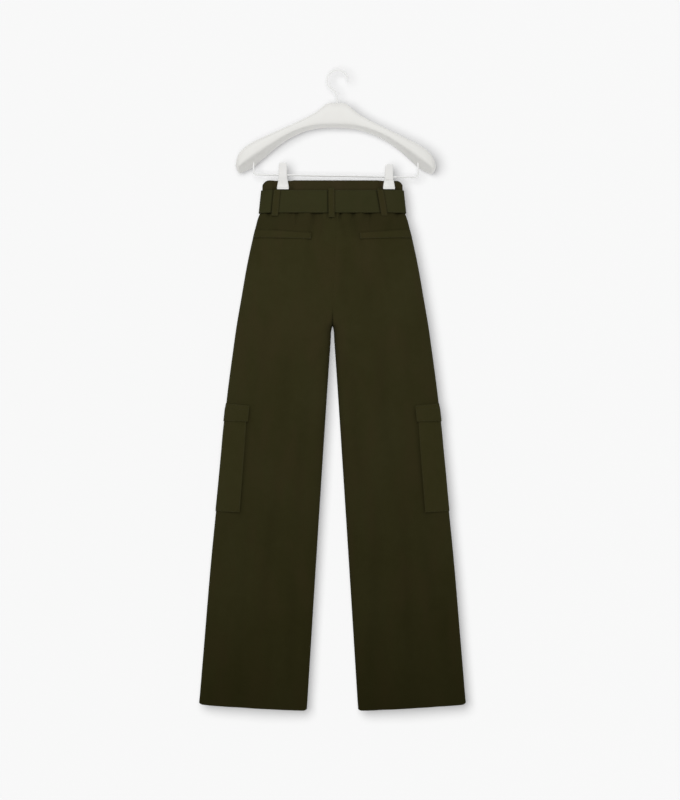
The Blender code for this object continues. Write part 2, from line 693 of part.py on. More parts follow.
def make_fly(parts):
    """The placket beside the centre front seam, with a rounded lower end."""
    levels = levels_between(BELT_BOTTOM - EDGE_CLEAR, FLY_BOTTOM)
    levels = np.array([*levels[:-1], *(FLY_BOTTOM + FLY_CURVE * np.array([0.5, 0.15, 0.0]))])
    curve = np.clip(1.0 - (levels - FLY_BOTTOM) / FLY_CURVE, 0.0, 1.0)
    width = FLY_WIDTH * np.maximum(np.sqrt(1.0 - curve**2), FLY_END_SHARE)
    columns = np.array([0.01, 0.35, 0.7, 1.0])
    places = -columns[None, :] * (width / read(SECTIONS, "half_width", levels))[:, None]
    ground = cloth(1, places, levels[:, None])
    outer = moved_out(ground, SEAM + PATCH_WALL)
    keep("fly_placket", wall_mesh(outer, moved_out(ground, SEAM)), (OLIVE_PATCH, 0.85), parts)


def loft_mesh(rings, closed=False):
    """A closed body through rings of equal counts. closed joins the last ring to the first."""
    mesh = bmesh.new()
    made = [[mesh.verts.new(point) for point in ring] for ring in rings]
    pairs = list(zip(made[:-1], made[1:])) + ([(made[-1], made[0])] if closed else [])
    for here, after in pairs:
        for index in range(len(here)):
            follow = (index + 1) % len(here)
            mesh.faces.new((here[index], here[follow], after[follow], after[index]))
    if not closed:
        mesh.faces.new(made[0])
        mesh.faces.new(made[-1])
    return mesh


def wire(name, points, parts, holder):
    """A round wire through the points, in the hanger's own plane."""
    curve = bpy.data.curves.new(name, "CURVE")
    curve.dimensions = "3D"
    curve.bevel_depth = WIRE
    curve.bevel_resolution = 2
    curve.use_fill_caps = True
    spline = curve.splines.new("POLY")
    spline.points.add(len(points) - 1)
    for point, (x, z) in zip(spline.points, points):
        point.co = (x, 0.0, z, 1.0)
    curve.materials.append(material(name, WHITE, 0.35))
    made = bpy.data.objects.new(name, curve)
    made.parent = holder
    parts.objects.link(made)


def arm_ring(along, top, ridge, heel, depth):
    """A section of the hanger: a squared oval whose underside slopes from ridge to heel."""
    ring = []
    for step in range(ARM_RING):
        angle = math.tau * (step + 0.5) / ARM_RING
        rounding = ARM_ROUND_TOP if math.sin(angle) > 0.0 else ARM_ROUND_BOTTOM
        across = math.copysign(abs(math.cos(angle)) ** rounding, math.cos(angle))
        upward = math.copysign(abs(math.sin(angle)) ** rounding, math.sin(angle))
        bottom = ridge + (heel - ridge) * (across + 1.0) / 2.0
        height = (top + bottom) / 2.0 + upward * (top - bottom) / 2.0
        ring.append((along, across * depth / 2.0, height))
    return ring


def cutter(name, place, bottom, top, cutters, holder):
    mesh = bmesh.new()
    radius = WIRE + SEAM * 1.5
    middle = Matrix.Translation((place, 0.0, (top + bottom) / 2.0))
    bmesh.ops.create_cone(mesh, cap_ends=True, segments=16, radius1=radius, radius2=radius,
                          depth=top - bottom, matrix=middle)
    data = bpy.data.meshes.new(name)
    mesh.to_mesh(data)
    mesh.free()
    made = bpy.data.objects.new(name, data)
    made.hide_render = True
    made.display_type = "WIRE"
    made.parent = holder
    cutters.objects.link(made)
    return made


def make_hanger(parts, cutters):
    holder = bpy.data.objects.new("hanger_tilt", None)
    holder.rotation_euler = (0.0, HANGER_TILT, 0.0)
    parts.objects.link(holder)
    keys = [row.along for row in ARM]
    half = np.concatenate([np.linspace(0.0, 0.052, 6)[:-1], np.linspace(0.052, 0.180, 8),
                           [0.190, 0.200, 0.207, ARM[-1].along]])
    stations = np.concatenate([-half[:0:-1], half])
    columns = [curve_through(keys, [getattr(row, column) for row in ARM], np.abs(stations))
               for column in ("top", "ridge", "heel", "depth")]
    rings = [arm_ring(*values) for values in zip(stations, *columns)]
    body = keep("hanger_body", loft_mesh(rings), (WHITE, 0.4), parts)
    body.parent = holder

    bar_bottom = UNDERSIDE - 2.0 * SOCKET
    bar_top = UNDERSIDE + SOCKET
    sockets = (("hook_socket", 0.0, ARM[0].top - SOCKET, ARM[0].top + SOCKET),
               ("bar_socket_left", -BAR_HALF, bar_bottom, bar_top),
               ("bar_socket_right", BAR_HALF, bar_bottom, bar_top))
    for name, place, bottom, top in sockets:
        cut = body.modifiers.new(name, "BOOLEAN")
        cut.operation = "DIFFERENCE"
        cut.solver = "EXACT"
        cut.object = cutter(name, place, bottom, top, cutters, holder)

    ring = HOOK_RADIUS
    angles = np.linspace(HOOK_END, HOOK_LEAVE, 22)
    hook = [(ring * math.cos(angle), WIRE - ring + ring * math.sin(angle)) for angle in angles]
    stem_end = (0.0, ARM[0].top - SOCKET + 3.0 * SEAM)
    stem_x, stem_z = np.array([hook[-2], hook[-1], *HOOK_STEM, stem_end]).T
    distance = np.concatenate([[0.0], np.cumsum(np.hypot(np.diff(stem_x), np.diff(stem_z)))])
    steps = np.linspace(distance[1], distance[-1], 16)[1:]
    hook += list(zip(curve_through(distance, stem_x, steps), curve_through(distance, stem_z, steps)))
    wire("hanger_hook", hook, parts, holder)

    end = (BAR_HALF, bar_top - 3.0 * SEAM)
    bend = [(BAR_HALF - BAR_BEND * (1.0 - math.cos(angle)),
             BAR_HEIGHT + BAR_BEND * (1.0 - math.sin(angle)))
            for angle in np.linspace(0.0, math.pi / 2.0, 6)]
    right = [end, *bend]
    wire("hanger_bar", right + [(-x, z) for x, z in right[::-1]], parts, holder)
    return holder


def make_clips(parts, holder):
    shoulder = CLIP_SHOULDER * CLIP_WALL
    for clip in CLIPS:
        bar = BAR_HEIGHT * math.cos(HANGER_TILT) - clip.place * math.sin(HANGER_TILT)
        rows = [Lever(bar + row.height, row.spread, row.width) for row in LEVER]
        rows += [Lever(clip.bottom + row.height, row.spread, row.width) for row in JAW]
        for face, name in ((-1, "back_jaw"), (1, "front_jaw")):
            rings = []
            for height, spread, width in rows:
                half = width / 2.0
                profile = ((-half, 0.0), (-half, shoulder), (CLIP_CHAMFER - half, CLIP_WALL),
                           (half - CLIP_CHAMFER, CLIP_WALL), (half, shoulder), (half, 0.0))
                rings.append([(clip.place + x, face * (spread + out), height) for x, out in profile])
            keep(f"{clip.name}_{name}", loft_mesh(rings), (WHITE, 0.35), parts)

        middle = (clip.place - BAR_HEIGHT * math.sin(HANGER_TILT)) / math.cos(HANGER_TILT)
        inside = WIRE + SEAM
        profile = ((-BARREL_HALF, inside), (BARREL_HALF, inside),
                   (BARREL_HALF, BARREL), (-BARREL_HALF, BARREL))
        rings = [[(middle + x, radius * math.cos(angle), BAR_HEIGHT + radius * math.sin(angle))
                  for x, radius in profile]
                 for angle in np.linspace(0.0, math.tau, 16, endpoint=False)]
        barrel = keep(f"{clip.name}_barrel", loft_mesh(rings, closed=True), (WHITE, 0.35), parts)
        barrel.parent = holder


def main():
    clear_scene()
    parts = collection("cargo_pants_on_clip_hanger")
    cutters = collection("cutters")
    make_panels(parts)
    make_waistband(parts)
    make_belt(parts)
    make_buckle(parts)
    make_loops(parts)
    make_welts(parts)
    make_cargo_pockets(parts)
    make_fly(parts)
    make_clips(parts, make_hanger(parts, cutters))


main()
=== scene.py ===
import math

import bmesh
import bpy
import numpy as np
from mathutils import Matrix, Vector


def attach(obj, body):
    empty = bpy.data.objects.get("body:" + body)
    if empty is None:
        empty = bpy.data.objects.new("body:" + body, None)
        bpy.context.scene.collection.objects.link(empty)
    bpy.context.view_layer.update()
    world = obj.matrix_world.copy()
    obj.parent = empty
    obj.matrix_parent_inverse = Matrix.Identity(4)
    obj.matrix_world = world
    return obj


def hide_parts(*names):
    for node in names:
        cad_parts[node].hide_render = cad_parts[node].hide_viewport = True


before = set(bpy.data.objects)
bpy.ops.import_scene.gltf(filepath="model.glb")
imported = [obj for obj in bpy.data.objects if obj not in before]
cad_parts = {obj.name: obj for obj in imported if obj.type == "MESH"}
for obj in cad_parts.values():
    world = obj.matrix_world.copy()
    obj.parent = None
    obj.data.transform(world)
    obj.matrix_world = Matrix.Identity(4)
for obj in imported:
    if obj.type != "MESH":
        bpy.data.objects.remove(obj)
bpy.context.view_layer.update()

scene = bpy.context.scene
scene.view_settings.view_transform = "Standard"
print("frame loaded")


# camera
studioCamera = {"place": (0.0054, -3.0, -0.701), "lens": 63.4}


def addObject(name, data):
    made = bpy.data.objects.new(name, data)
    scene.collection.objects.link(made)
    return made


def addCamera():
    lens = bpy.data.cameras.new("studioCamera")
    lens.lens = studioCamera["lens"]
    made = addObject("studioCamera", lens)
    made.location = studioCamera["place"]
    made.rotation_euler = (math.pi / 2, 0, 0)
    scene.camera = made


addCamera()


# small helpers
rippleWaves = ((1.0, 1.0), (0.7, 1.63), (0.5, 0.47), (0.4, 2.71))  # share and pace of each wave


def ease(start, end, value):
    share = np.clip((value - start) / (end - start), 0, 1)
    return share * share * (3 - 2 * share)


def hump(off, width):
    return np.exp(-(off / width) ** 2)


def mixed(low, high, share):
    return low + (high - low) * share


def within(span, value):
    return (value > span[0]) & (value < span[1])


def runLengths(points):
    # distance along each row of points, from its first point
    steps = np.linalg.norm(np.diff(points, axis=-2), axis=-1)
    return np.concatenate([np.zeros(steps.shape[:-1] + (1,)), np.cumsum(steps, axis=-1)], axis=-1)


def curveThrough(keys, values, wanted):
    # smooth curve through rising keys
    keys, values = np.array(keys), np.array(values)
    slopes = np.gradient(values, keys)
    wanted = np.clip(wanted, keys[0], keys[-1])
    index = np.clip(np.searchsorted(keys, wanted) - 1, 0, len(keys) - 2)
    step = keys[index + 1] - keys[index]
    share = (wanted - keys[index]) / step
    rest = 1 - share
    start = (1 + 2 * share) * values[index] + share * step * slopes[index]
    end = (3 - 2 * share) * values[index + 1] - rest * step * slopes[index + 1]
    return rest * rest * start + share * share * end


def readColumn(table, column, heights):
    rows = table[::-1]
    return curveThrough([row[0] for row in rows], [row[column] for row in rows], heights)


def ripple(along, pace, seed):
    # uneven wave between -1 and 1, the same every run
    starts = np.random.default_rng(seed).uniform(0, 6.28, len(rippleWaves))
    waves = [share * np.sin(along * pace * faster + start)
             for (share, faster), start in zip(rippleWaves, starts)]
    return sum(waves) / sum(share for share, _ in rippleWaves)


def raised(height, along, pace, seed):
    # between nothing and the full height, unevenly
    return height * (0.5 + 0.5 * ripple(along, pace, seed))


def meshObject(name, made, material):
    shape = bpy.data.meshes.new(name)
    made.to_mesh(shape)
    made.free()
    shape.materials.append(material)
    return addObject(name, shape)


# the trousers' own form, the same walls as the frame's
trousers = {
    "centreX": -0.0106,
    "seam": 0.0003,
    "bandSeam": -0.298,
    "seatTurn": -0.498,
    "crotch": -0.544,
    "hem": -1.348,
    "hemDrop": 0.0135,
    "forkShare": 0.12,
    "forkFade": 0.05,
    "gripTurn": 0.005,
    "bendPower": 2.4,
    # height, half width, back depth, front depth, share that rounds into the side seam
    "sections": [
        (-0.2345, 0.1494, 0.009, 0.008, 0.1), (-0.255, 0.1496, 0.0095, 0.0085, 0.11),
        (-0.298, 0.154, 0.0132, 0.0115, 0.18), (-0.304, 0.1547, 0.0138, 0.012, 0.19),
        (-0.312, 0.1578, 0.017, 0.0145, 0.22), (-0.34, 0.1654, 0.0225, 0.0185, 0.3),
        (-0.404, 0.1799, 0.029, 0.024, 0.42), (-0.489, 0.195, 0.03, 0.026, 0.5),
        (-0.544, 0.2044, 0.028, 0.0255, 0.5), (-0.595, 0.2116, 0.0275, 0.0255, 0.5),
        (-0.701, 0.2254, 0.0255, 0.024, 0.5), (-0.807, 0.2353, 0.023, 0.0225, 0.5),
        (-0.914, 0.2458, 0.0205, 0.02, 0.5), (-1.041, 0.2584, 0.018, 0.0175, 0.5),
        (-1.211, 0.2727, 0.0155, 0.0155, 0.5), (-1.348, 0.2841, 0.0145, 0.0145, 0.5)],
    # height, half gap between the legs, share that rounds into the inseam
    "inseam": [
        (-0.544, 0.0, 0.15), (-0.55, 0.0018, 0.16), (-0.574, 0.0036, 0.2), (-0.701, 0.0123, 0.38),
        (-0.914, 0.0262, 0.5), (-1.126, 0.0397, 0.5), (-1.36, 0.0543, 0.5)],
    # across, top, fade, rise, width, depth
    "backFolds": [
        (-0.143, -0.298, 0.055, 0.01, 0.012, 0.003), (-0.085, -0.298, 0.045, 0.01, 0.009, 0.0026),
        (-0.036, -0.298, 0.06, 0.01, 0.01, 0.003), (-0.009, -0.298, 0.03, 0.01, 0.006, 0.0022),
        (0.008, -0.298, 0.03, 0.01, 0.006, 0.0022), (0.037, -0.298, 0.065, 0.01, 0.009, 0.0028),
        (0.074, -0.298, 0.05, 0.01, 0.011, 0.003), (0.142, -0.298, 0.045, 0.01, 0.012, 0.0026),
        (-0.062, -0.64, 0.34, 0.18, 0.026, 0.003), (-0.148, -0.9, 0.3, 0.25, 0.03, 0.0022),
        (0.058, -0.47, 0.3, 0.11, 0.024, 0.0028), (0.15, -0.76, 0.42, 0.2, 0.03, 0.0026)],
    "frontFolds": [
        (-0.118, -0.298, 0.06, 0.01, 0.011, 0.0024), (-0.06, -0.298, 0.07, 0.01, 0.01, 0.0026),
        (0.055, -0.298, 0.065, 0.01, 0.01, 0.0026), (0.112, -0.298, 0.055, 0.01, 0.011, 0.0022),
        (-0.11, -0.7, 0.36, 0.22, 0.028, 0.0026), (0.105, -0.64, 0.4, 0.15, 0.028, 0.0028)],
    # place from the hook, bottom of the jaw
    "clipPlaces": [(-0.1160, -0.2536), (0.1096, -0.2533)],
    "clipFlat": 0.0135,
    "clipEase": 0.013,
    "bandWall": 0.0018,
}


def turned(share):
    rest = 1 - np.clip(share, 0, 1)
    return (1 - rest ** trousers["bendPower"]) ** (1 / trousers["bendPower"])


def fromCentre(points):
    return points[..., 0] - trousers["centreX"], points[..., 2]


def legDrop(height):
    crotch = trousers["crotch"]
    return trousers["hemDrop"] * np.clip((crotch - height) / (crotch - trousers["hem"]), 0, 1)


def halfWidth(height):
    return readColumn(trousers["sections"], 1, height)


def rowWidth(height):
    gap = readColumn(trousers["inseam"], 1, height - legDrop(height))
    return halfWidth(height) - np.where(height < trousers["crotch"], gap, 0)


def cloth(face, across, height, plain=False):
    # face: -1 back, 1 front. across: -1 left side seam, 0 centre, 1 right side seam
    across, height = np.broadcast_arrays(across, height)
    share = np.maximum(1 - np.abs(across), 0)
    fromSide = share * rowWidth(height)
    x = np.where(across < 0, -1, 1) * (halfWidth(height) - fromSide)
    reach = readColumn(trousers["sections"], 2 if face < 0 else 3, height)
    roundOff = turned(share / readColumn(trousers["sections"], 4, height))
    seatTurn, crotch = trousers["seatTurn"], trousers["crotch"]
    under = np.clip((seatTurn - height) / (seatTurn - crotch), 0, 1)
    fork = np.sqrt(1 - under * under)
    beside = 1 - ease(seatTurn + trousers["forkFade"], crotch - trousers["forkFade"], height)
    fork = fork + (beside - fork) * ease(0, trousers["forkShare"], 1 - share)
    inseamTurn = turned((1 - share) / readColumn(trousers["inseam"], 2, height))
    depth = reach * roundOff * (fork + (1 - fork) * inseamTurn)
    folds = trousers["backFolds"] if face < 0 else trousers["frontFolds"]
    for place, top, fade, rise, width, deep in [] if plain else folds:
        length = ease(top - fade, top, height) * ease(top + rise, top, height)
        trough = deep * hump(x - place, width) * length
        depth = depth - np.where(height < trousers["bandSeam"], trough, 0) * roundOff
    flat = trousers["bandWall"] * turned(fromSide / trousers["gripTurn"])
    for place, bottom in [] if plain else trousers["clipPlaces"]:
        near = np.abs(x - (place - trousers["centreX"])) - trousers["clipFlat"]
        grip = (1 - ease(0, trousers["clipEase"], near)) * ease(trousers["bandSeam"], bottom, height)
        depth = depth + (np.minimum(flat, depth) - depth) * grip
    y = face * (trousers["seam"] / 2 + np.maximum(depth, 0))
    z = height - legDrop(height) * share
    return np.stack([trousers["centreX"] + x, y, z], axis=-1)


def liftedOff(ground, u, v, distance):
    # moves the points square off their rows, which run anticlockwise seen from above
    step = 1e-3
    along = ground(np.minimum(u + step, 1), v) - ground(np.maximum(u - step, 0), v)
    square = np.stack([along[..., 1], -along[..., 0], np.zeros(along.shape[:-1])], axis=-1)
    square /= np.maximum(np.linalg.norm(square, axis=-1, keepdims=True), 1e-9)
    return ground(u, v) + square * np.broadcast_to(distance, u.shape)[..., None]


def laidOn(ground, u, v, values, rise=0.0):
    # the outer side of a patch on the panels
    return liftedOff(ground, u, v, trousers["seam"] + values["wall"] + rise)


# materials
def newGroup(name, takes, gives):
    made = bpy.data.node_groups.new(name, "ShaderNodeTree")
    for label, value in takes.items():
        socket = made.interface.new_socket(name=label, in_out="INPUT", socket_type="NodeSocketFloat")
        socket.default_value = value
    for label in gives:
        made.interface.new_socket(name=label, in_out="OUTPUT", socket_type="NodeSocketFloat")
    return made, made.nodes.new("NodeGroupInput").outputs, made.nodes.new("NodeGroupOutput")


def setInputs(tree, made, values):
    # an input takes a value, or a link where the value is another node's socket
    for target, value in values.items():
        if hasattr(value, "is_output"):
            tree.links.new(value, made.inputs[target])
        else:
            made.inputs[target].default_value = value


def node(tree, kind, inputs=None, **settings):
    made = tree.nodes.new("ShaderNode" + kind)
    for key, value in settings.items():
        setattr(made, key, value)
    setInputs(tree, made, inputs or {})
    return made


def calc(tree, operation, first, second=0.0, third=0.0):
    return node(tree, "Math", {0: first, 1: second, 2: third}, operation=operation).outputs[0]


def objectPlace(tree):
    return node(tree, "TexCoord").outputs["Object"]


def noise(tree, place, scale, detail, roughness=0.5):
    values = {"Vector": place, "Scale": scale, "Detail": detail, "Roughness": roughness}
    return node(tree, "TexNoise", values).outputs["Fac"]


def stretched(tree, value, low, high):
    return node(tree, "MapRange", {"Value": value, "From Min": low, "From Max": high}).outputs[0]


def twillWeaveGroup():
    # diagonal ribs over fine cross threads, read from the cut's own measure in metres
    tree, takes, gives = newGroup("twillWeave", {"Ribs": 760.0, "Unevenness": 1.2}, ["Height", "Yarn"])
    cut = node(tree, "UVMap", uv_map="cut").outputs["UV"]
    ribs = {"Vector": cut, "Scale": takes["Ribs"], "Distortion": takes["Unevenness"],
            "Detail": 1.0, "Detail Scale": 0.6}
    rib = node(tree, "TexWave", ribs, wave_type="BANDS", bands_direction="DIAGONAL").outputs["Fac"]
    crossings = {"Vector": cut, "Scale": calc(tree, "MULTIPLY", takes["Ribs"], 0.75),
                 "Distortion": 0.5, "Detail": 0.0}
    cross = node(tree, "TexWave", crossings, wave_type="BANDS", bands_direction="Y").outputs["Fac"]
    thread = node(tree, "Mapping", {"Vector": cut, "Scale": (1.0, 0.12, 1.0)}).outputs[0]
    slub = noise(tree, thread, 2600.0, 2.0)
    height = calc(tree, "MULTIPLY_ADD", rib, 0.7, calc(tree, "MULTIPLY", cross, 0.3))
    setInputs(tree, gives, {
        "Height": calc(tree, "MULTIPLY_ADD", slub, 0.35, height),
        "Yarn": calc(tree, "MULTIPLY_ADD", rib, 0.35, calc(tree, "MULTIPLY", slub, 0.65))})
    return tree


def softDriftGroup():
    # slow changes of shade, and finer mottling, over any piece
    tree, takes, gives = newGroup("softDrift", {"Size": 7.0, "Fine Size": 90.0, "Fine Share": 0.3}, ["Drift"])
    slow = noise(tree, objectPlace(tree), takes["Size"], 2.0)
    fine = noise(tree, objectPlace(tree), takes["Fine Size"], 3.0)
    blend = node(tree, "Mix", {0: takes["Fine Share"], 2: slow, 3: fine}, data_type="FLOAT")
    setInputs(tree, gives, {"Drift": blend.outputs[0]})
    return tree


def dyeRunsGroup():
    # upright streaks where the dye turned browner
    tree, takes, gives = newGroup("dyeRuns", {"Size": 22.0, "Most": 0.72}, ["Run"])
    drawnOut = {"Vector": objectPlace(tree), "Location": (3.1, 1.7, 0.4), "Scale": (1.0, 1.0, 0.34)}
    patch = noise(tree, node(tree, "Mapping", drawnOut).outputs[0], takes["Size"], 2.5, 0.55)
    run = stretched(tree, patch, 0.46, 0.66)
    setInputs(tree, gives, {"Run": calc(tree, "MULTIPLY", run, takes["Most"])})
    return tree


twillWeave = twillWeaveGroup()
softDrift = softDriftGroup()
dyeRuns = dyeRunsGroup()


def useGroup(tree, group, values):
    made = node(tree, "Group", node_tree=group)
    setInputs(tree, made, values)
    return made.outputs


def emptyMaterial(name):
    made = bpy.data.materials.new(name)
    made.use_nodes = True
    return made, made.node_tree, made.node_tree.nodes["Principled BSDF"]


def mixColours(tree, factor, first, second):
    first, second = [(*colour, 1.0) if isinstance(colour, tuple) else colour for colour in (first, second)]
    return node(tree, "Mix", {0: factor, 6: first, 7: second}, data_type="RGBA").outputs[2]


def bumped(tree, height, distance, strength):
    return node(tree, "Bump", {"Height": height, "Distance": distance, "Strength": strength}).outputs[0]


# painted shade towards the hems, where less light falls: height, share of the colour, share of its blue
paintedHemShadeSteps = [
    (-1.36, 0.61, 0.80), (-1.24, 0.72, 0.84), (-1.12, 0.83, 0.89), (-0.90, 0.91, 0.94), (-0.55, 1.0, 0.98)]

clothLooks = {
    "oliveTwill": {
        "dark": (0.0310, 0.0279, 0.0089), "light": (0.0402, 0.0370, 0.0141),
        "brown": (0.0392, 0.0322, 0.0126), "shade": (0.0180, 0.0158, 0.0056),
        "ribs": 760.0, "weave": 0.00009, "roughness": 0.9},
    # the olive twill painted lighter for the pockets, standing in for the light they catch
    "patchTwillPaintedLit": {
        "dark": (0.0352, 0.0321, 0.0103), "light": (0.0450, 0.0416, 0.0159),
        "brown": (0.0418, 0.0356, 0.0136), "shade": (0.0190, 0.0166, 0.0058),
        "ribs": 760.0, "weave": 0.00009, "roughness": 0.9},
    "beltTwill": {
        "dark": (0.0300, 0.0296, 0.0104), "light": (0.0386, 0.0376, 0.0146),
        "brown": (0.0372, 0.0342, 0.0136), "shade": (0.0105, 0.0098, 0.0036),
        "ribs": 760.0, "weave": 0.00008, "roughness": 0.86},
    "bandTwill": {
        "dark": (0.0302, 0.0254, 0.0094), "light": (0.0392, 0.0336, 0.0142),
        "brown": (0.0420, 0.0308, 0.0146), "shade": (0.0170, 0.0140, 0.0050),
        "ribs": 760.0, "weave": 0.00008, "roughness": 0.9},
}

# shared by all the cloth
clothFinish = {
    "Specular IOR Level": 0.03, "Sheen Weight": 0.03, "Sheen Roughness": 0.35,
    "Sheen Tint": (0.70, 0.75, 0.40, 1.0)}
clothDrift = {"Size": 6.0, "Fine Size": 60.0, "Fine Share": 0.3}


def paintHemShade(tree, colour):
    # painted shade: the colour darkens slowly towards the hems, standing in for light that falls off lower
    # down
    height = node(tree, "SeparateXYZ", {0: objectPlace(tree)}).outputs["Z"]
    low, high = paintedHemShadeSteps[0][0], paintedHemShadeSteps[-1][0]
    ramp = node(tree, "ValToRGB", {0: stretched(tree, height, low, high)})
    for index, (stop, share, blue) in enumerate(paintedHemShadeSteps):
        place = (stop - low) / (high - low)
        mark = ramp.color_ramp.elements[index] if index < 2 else ramp.color_ramp.elements.new(place)
        mark.position = place
        mark.color = (share, share, share * blue, 1)
    return node(tree, "VectorMath", {0: colour, 1: ramp.outputs["Color"]}, operation="MULTIPLY").outputs[0]


def clothMaterial(name):
    looks = clothLooks[name]
    made, tree, shader = emptyMaterial(name)
    weave = useGroup(tree, twillWeave, {"Ribs": looks["ribs"]})
    drift = useGroup(tree, softDrift, clothDrift)["Drift"]
    tone = stretched(tree, drift, 0.32, 0.68)
    yarn = calc(tree, "MULTIPLY_ADD", weave["Yarn"], 0.30, calc(tree, "MULTIPLY", tone, 0.70))
    colour = mixColours(tree, yarn, looks["dark"], looks["light"])
    colour = mixColours(tree, useGroup(tree, dyeRuns, {})["Run"], colour, looks["brown"])
    # painted shade from the pieces darkens the colour towards the shade colour
    paintedShade = node(tree, "Attribute", attribute_name="paintedShade").outputs["Fac"]
    setInputs(tree, shader, {
        "Base Color": paintHemShade(tree, mixColours(tree, paintedShade, colour, looks["shade"])),
        "Roughness": calc(tree, "MULTIPLY_ADD", weave["Yarn"], -0.08, looks["roughness"] + 0.04),
        "Normal": bumped(tree, weave["Height"], looks["weave"], 0.8), **clothFinish})
    return made


plainLooks = {
    # drift: size, fine size, fine share. rough: middle, spread. relief: depth, strength
    "oliveThread": {
        "dark": (0.027, 0.02475, 0.0105), "light": (0.045, 0.04125, 0.0175), "drift": (60.0, 2400.0, 0.6),
        "rough": (0.6, 0), "relief": (0.0001, 0.5),
        "finish": {"Specular IOR Level": 0.3, "Sheen Weight": 0.1}},
    "hangerLacquer": {
        "dark": (0.815, 0.808, 0.775), "light": (0.868, 0.861, 0.830), "drift": (9.0, 420.0, 0.35),
        "rough": (0.52, 0.14), "relief": (0.00006, 0.7),
        "finish": {"Specular IOR Level": 0.4, "Coat Weight": 0.05, "Coat Roughness": 0.25}},
    "wireCoat": {
        "dark": (0.88, 0.88, 0.865), "light": (0.93, 0.93, 0.92), "drift": (9.0, 900.0, 0.35),
        "rough": (0.34, 0.14), "relief": (0.00003, 0.7),
        "finish": {"Specular IOR Level": 0.4, "Coat Weight": 0.2, "Coat Roughness": 0.25}},
    "clipPlastic": {
        "dark": (0.845, 0.838, 0.815), "light": (0.900, 0.893, 0.875), "drift": (9.0, 1500.0, 0.35),
        "rough": (0.38, 0.14), "relief": (0.00004, 0.7),
        "finish": {"Specular IOR Level": 0.4, "Coat Weight": 0.1, "Coat Roughness": 0.25}},
    "buckleEnamel": {
        "dark": (0.030, 0.029, 0.022), "light": (0.052, 0.050, 0.040), "drift": (40.0, 1500.0, 0.5),
        "rough": (0.38, 0.2), "relief": (0.00004, 0.6), "finish": {"Metallic": 0.6}},
}


def plainMaterial(name):
    looks = plainLooks[name]
    made, tree, shader = emptyMaterial(name)
    driftValues = dict(zip(("Size", "Fine Size", "Fine Share"), looks["drift"]))
    drift = useGroup(tree, softDrift, driftValues)["Drift"]
    middle, spread = looks["rough"]
    setInputs(tree, shader, {
        "Base Color": mixColours(tree, drift, looks["dark"], looks["light"]),
        "Roughness": calc(tree, "MULTIPLY_ADD", drift, spread, middle - spread / 2) if spread else middle,
        "Normal": bumped(tree, drift, *looks["relief"]), **looks["finish"]})
    return made


oliveTwill, patchTwillPaintedLit, beltTwill, bandTwill = [clothMaterial(name) for name in clothLooks]
oliveThread, hangerLacquer, wireCoat, clipPlastic, buckleEnamel = [plainMaterial(name) for name in plainLooks]
print("materials ready")


# making pieces
def dress(piece, nodeName=None):
    # every piece rides on the one body, and most stand for a node of the frame
    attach(piece, "root")
    if nodeName:
        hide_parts(nodeName)
    return piece


def finishPiece(name, made, material, nodeName=None):
    piece = meshObject(name, made, material)
    piece.data.shade_smooth()
    return dress(piece, nodeName)


def clothPiece(nodeName, ending, surface, steps, values, outward, material,
               paintedShade=None, twillTurn=1):
    # a grid laid on the surface, walled inwards and softened at its edges
    columns, rows = steps
    u, v = np.meshgrid(np.linspace(0, 1, columns + 1), np.linspace(0, 1, rows + 1))
    points = surface(u, v)
    along, down = runLengths(points), runLengths(points.swapaxes(0, 1)).T
    made = bmesh.new()
    cut = made.loops.layers.uv.new("cut")
    bmesh.ops.create_grid(made, x_segments=columns, y_segments=rows, size=0.5)
    # painted shade per point, from the piece's shade function, kept in an attribute for the material
    shade = made.verts.layers.float.new("paintedShade")
    folds = paintedShade(points) if paintedShade else np.zeros(points.shape[:2])
    for vert in made.verts:
        column = round((vert.co.x + 0.5) * columns)
        row = round((0.5 - vert.co.y) * rows)
        vert.index = row * (columns + 1) + column
        vert[shade] = folds[row, column]
    flatPoints = points.reshape(-1, 3)
    flatCut = np.stack([along * twillTurn, -down], axis=-1).reshape(-1, 2)
    for face in made.faces:
        for loop in face.loops:
            loop[cut].uv = flatCut[loop.vert.index]
    for vert in made.verts:
        vert.co = flatPoints[vert.index]
    made.verts.index_update()
    made.normal_update()
    made.faces.ensure_lookup_table()
    centre = Vector(points[rows // 2, columns // 2])
    middle = min(made.faces, key=lambda face: (face.calc_center_median() - centre).length)
    if middle.normal.dot(Vector(outward)) < 0:
        bmesh.ops.reverse_faces(made, faces=made.faces)
    piece = finishPiece(nodeName + ending, made, material, nodeName)
    thick = piece.modifiers.new("wall", "SOLIDIFY")
    thick.thickness = values["wall"]
    thick.offset = -1
    soft = piece.modifiers.new("softEdge", "BEVEL")
    soft.width = values["edge"]
    soft.segments = 2
    soft.limit_method = "ANGLE"
    soft.angle_limit = math.radians(55)
    return piece


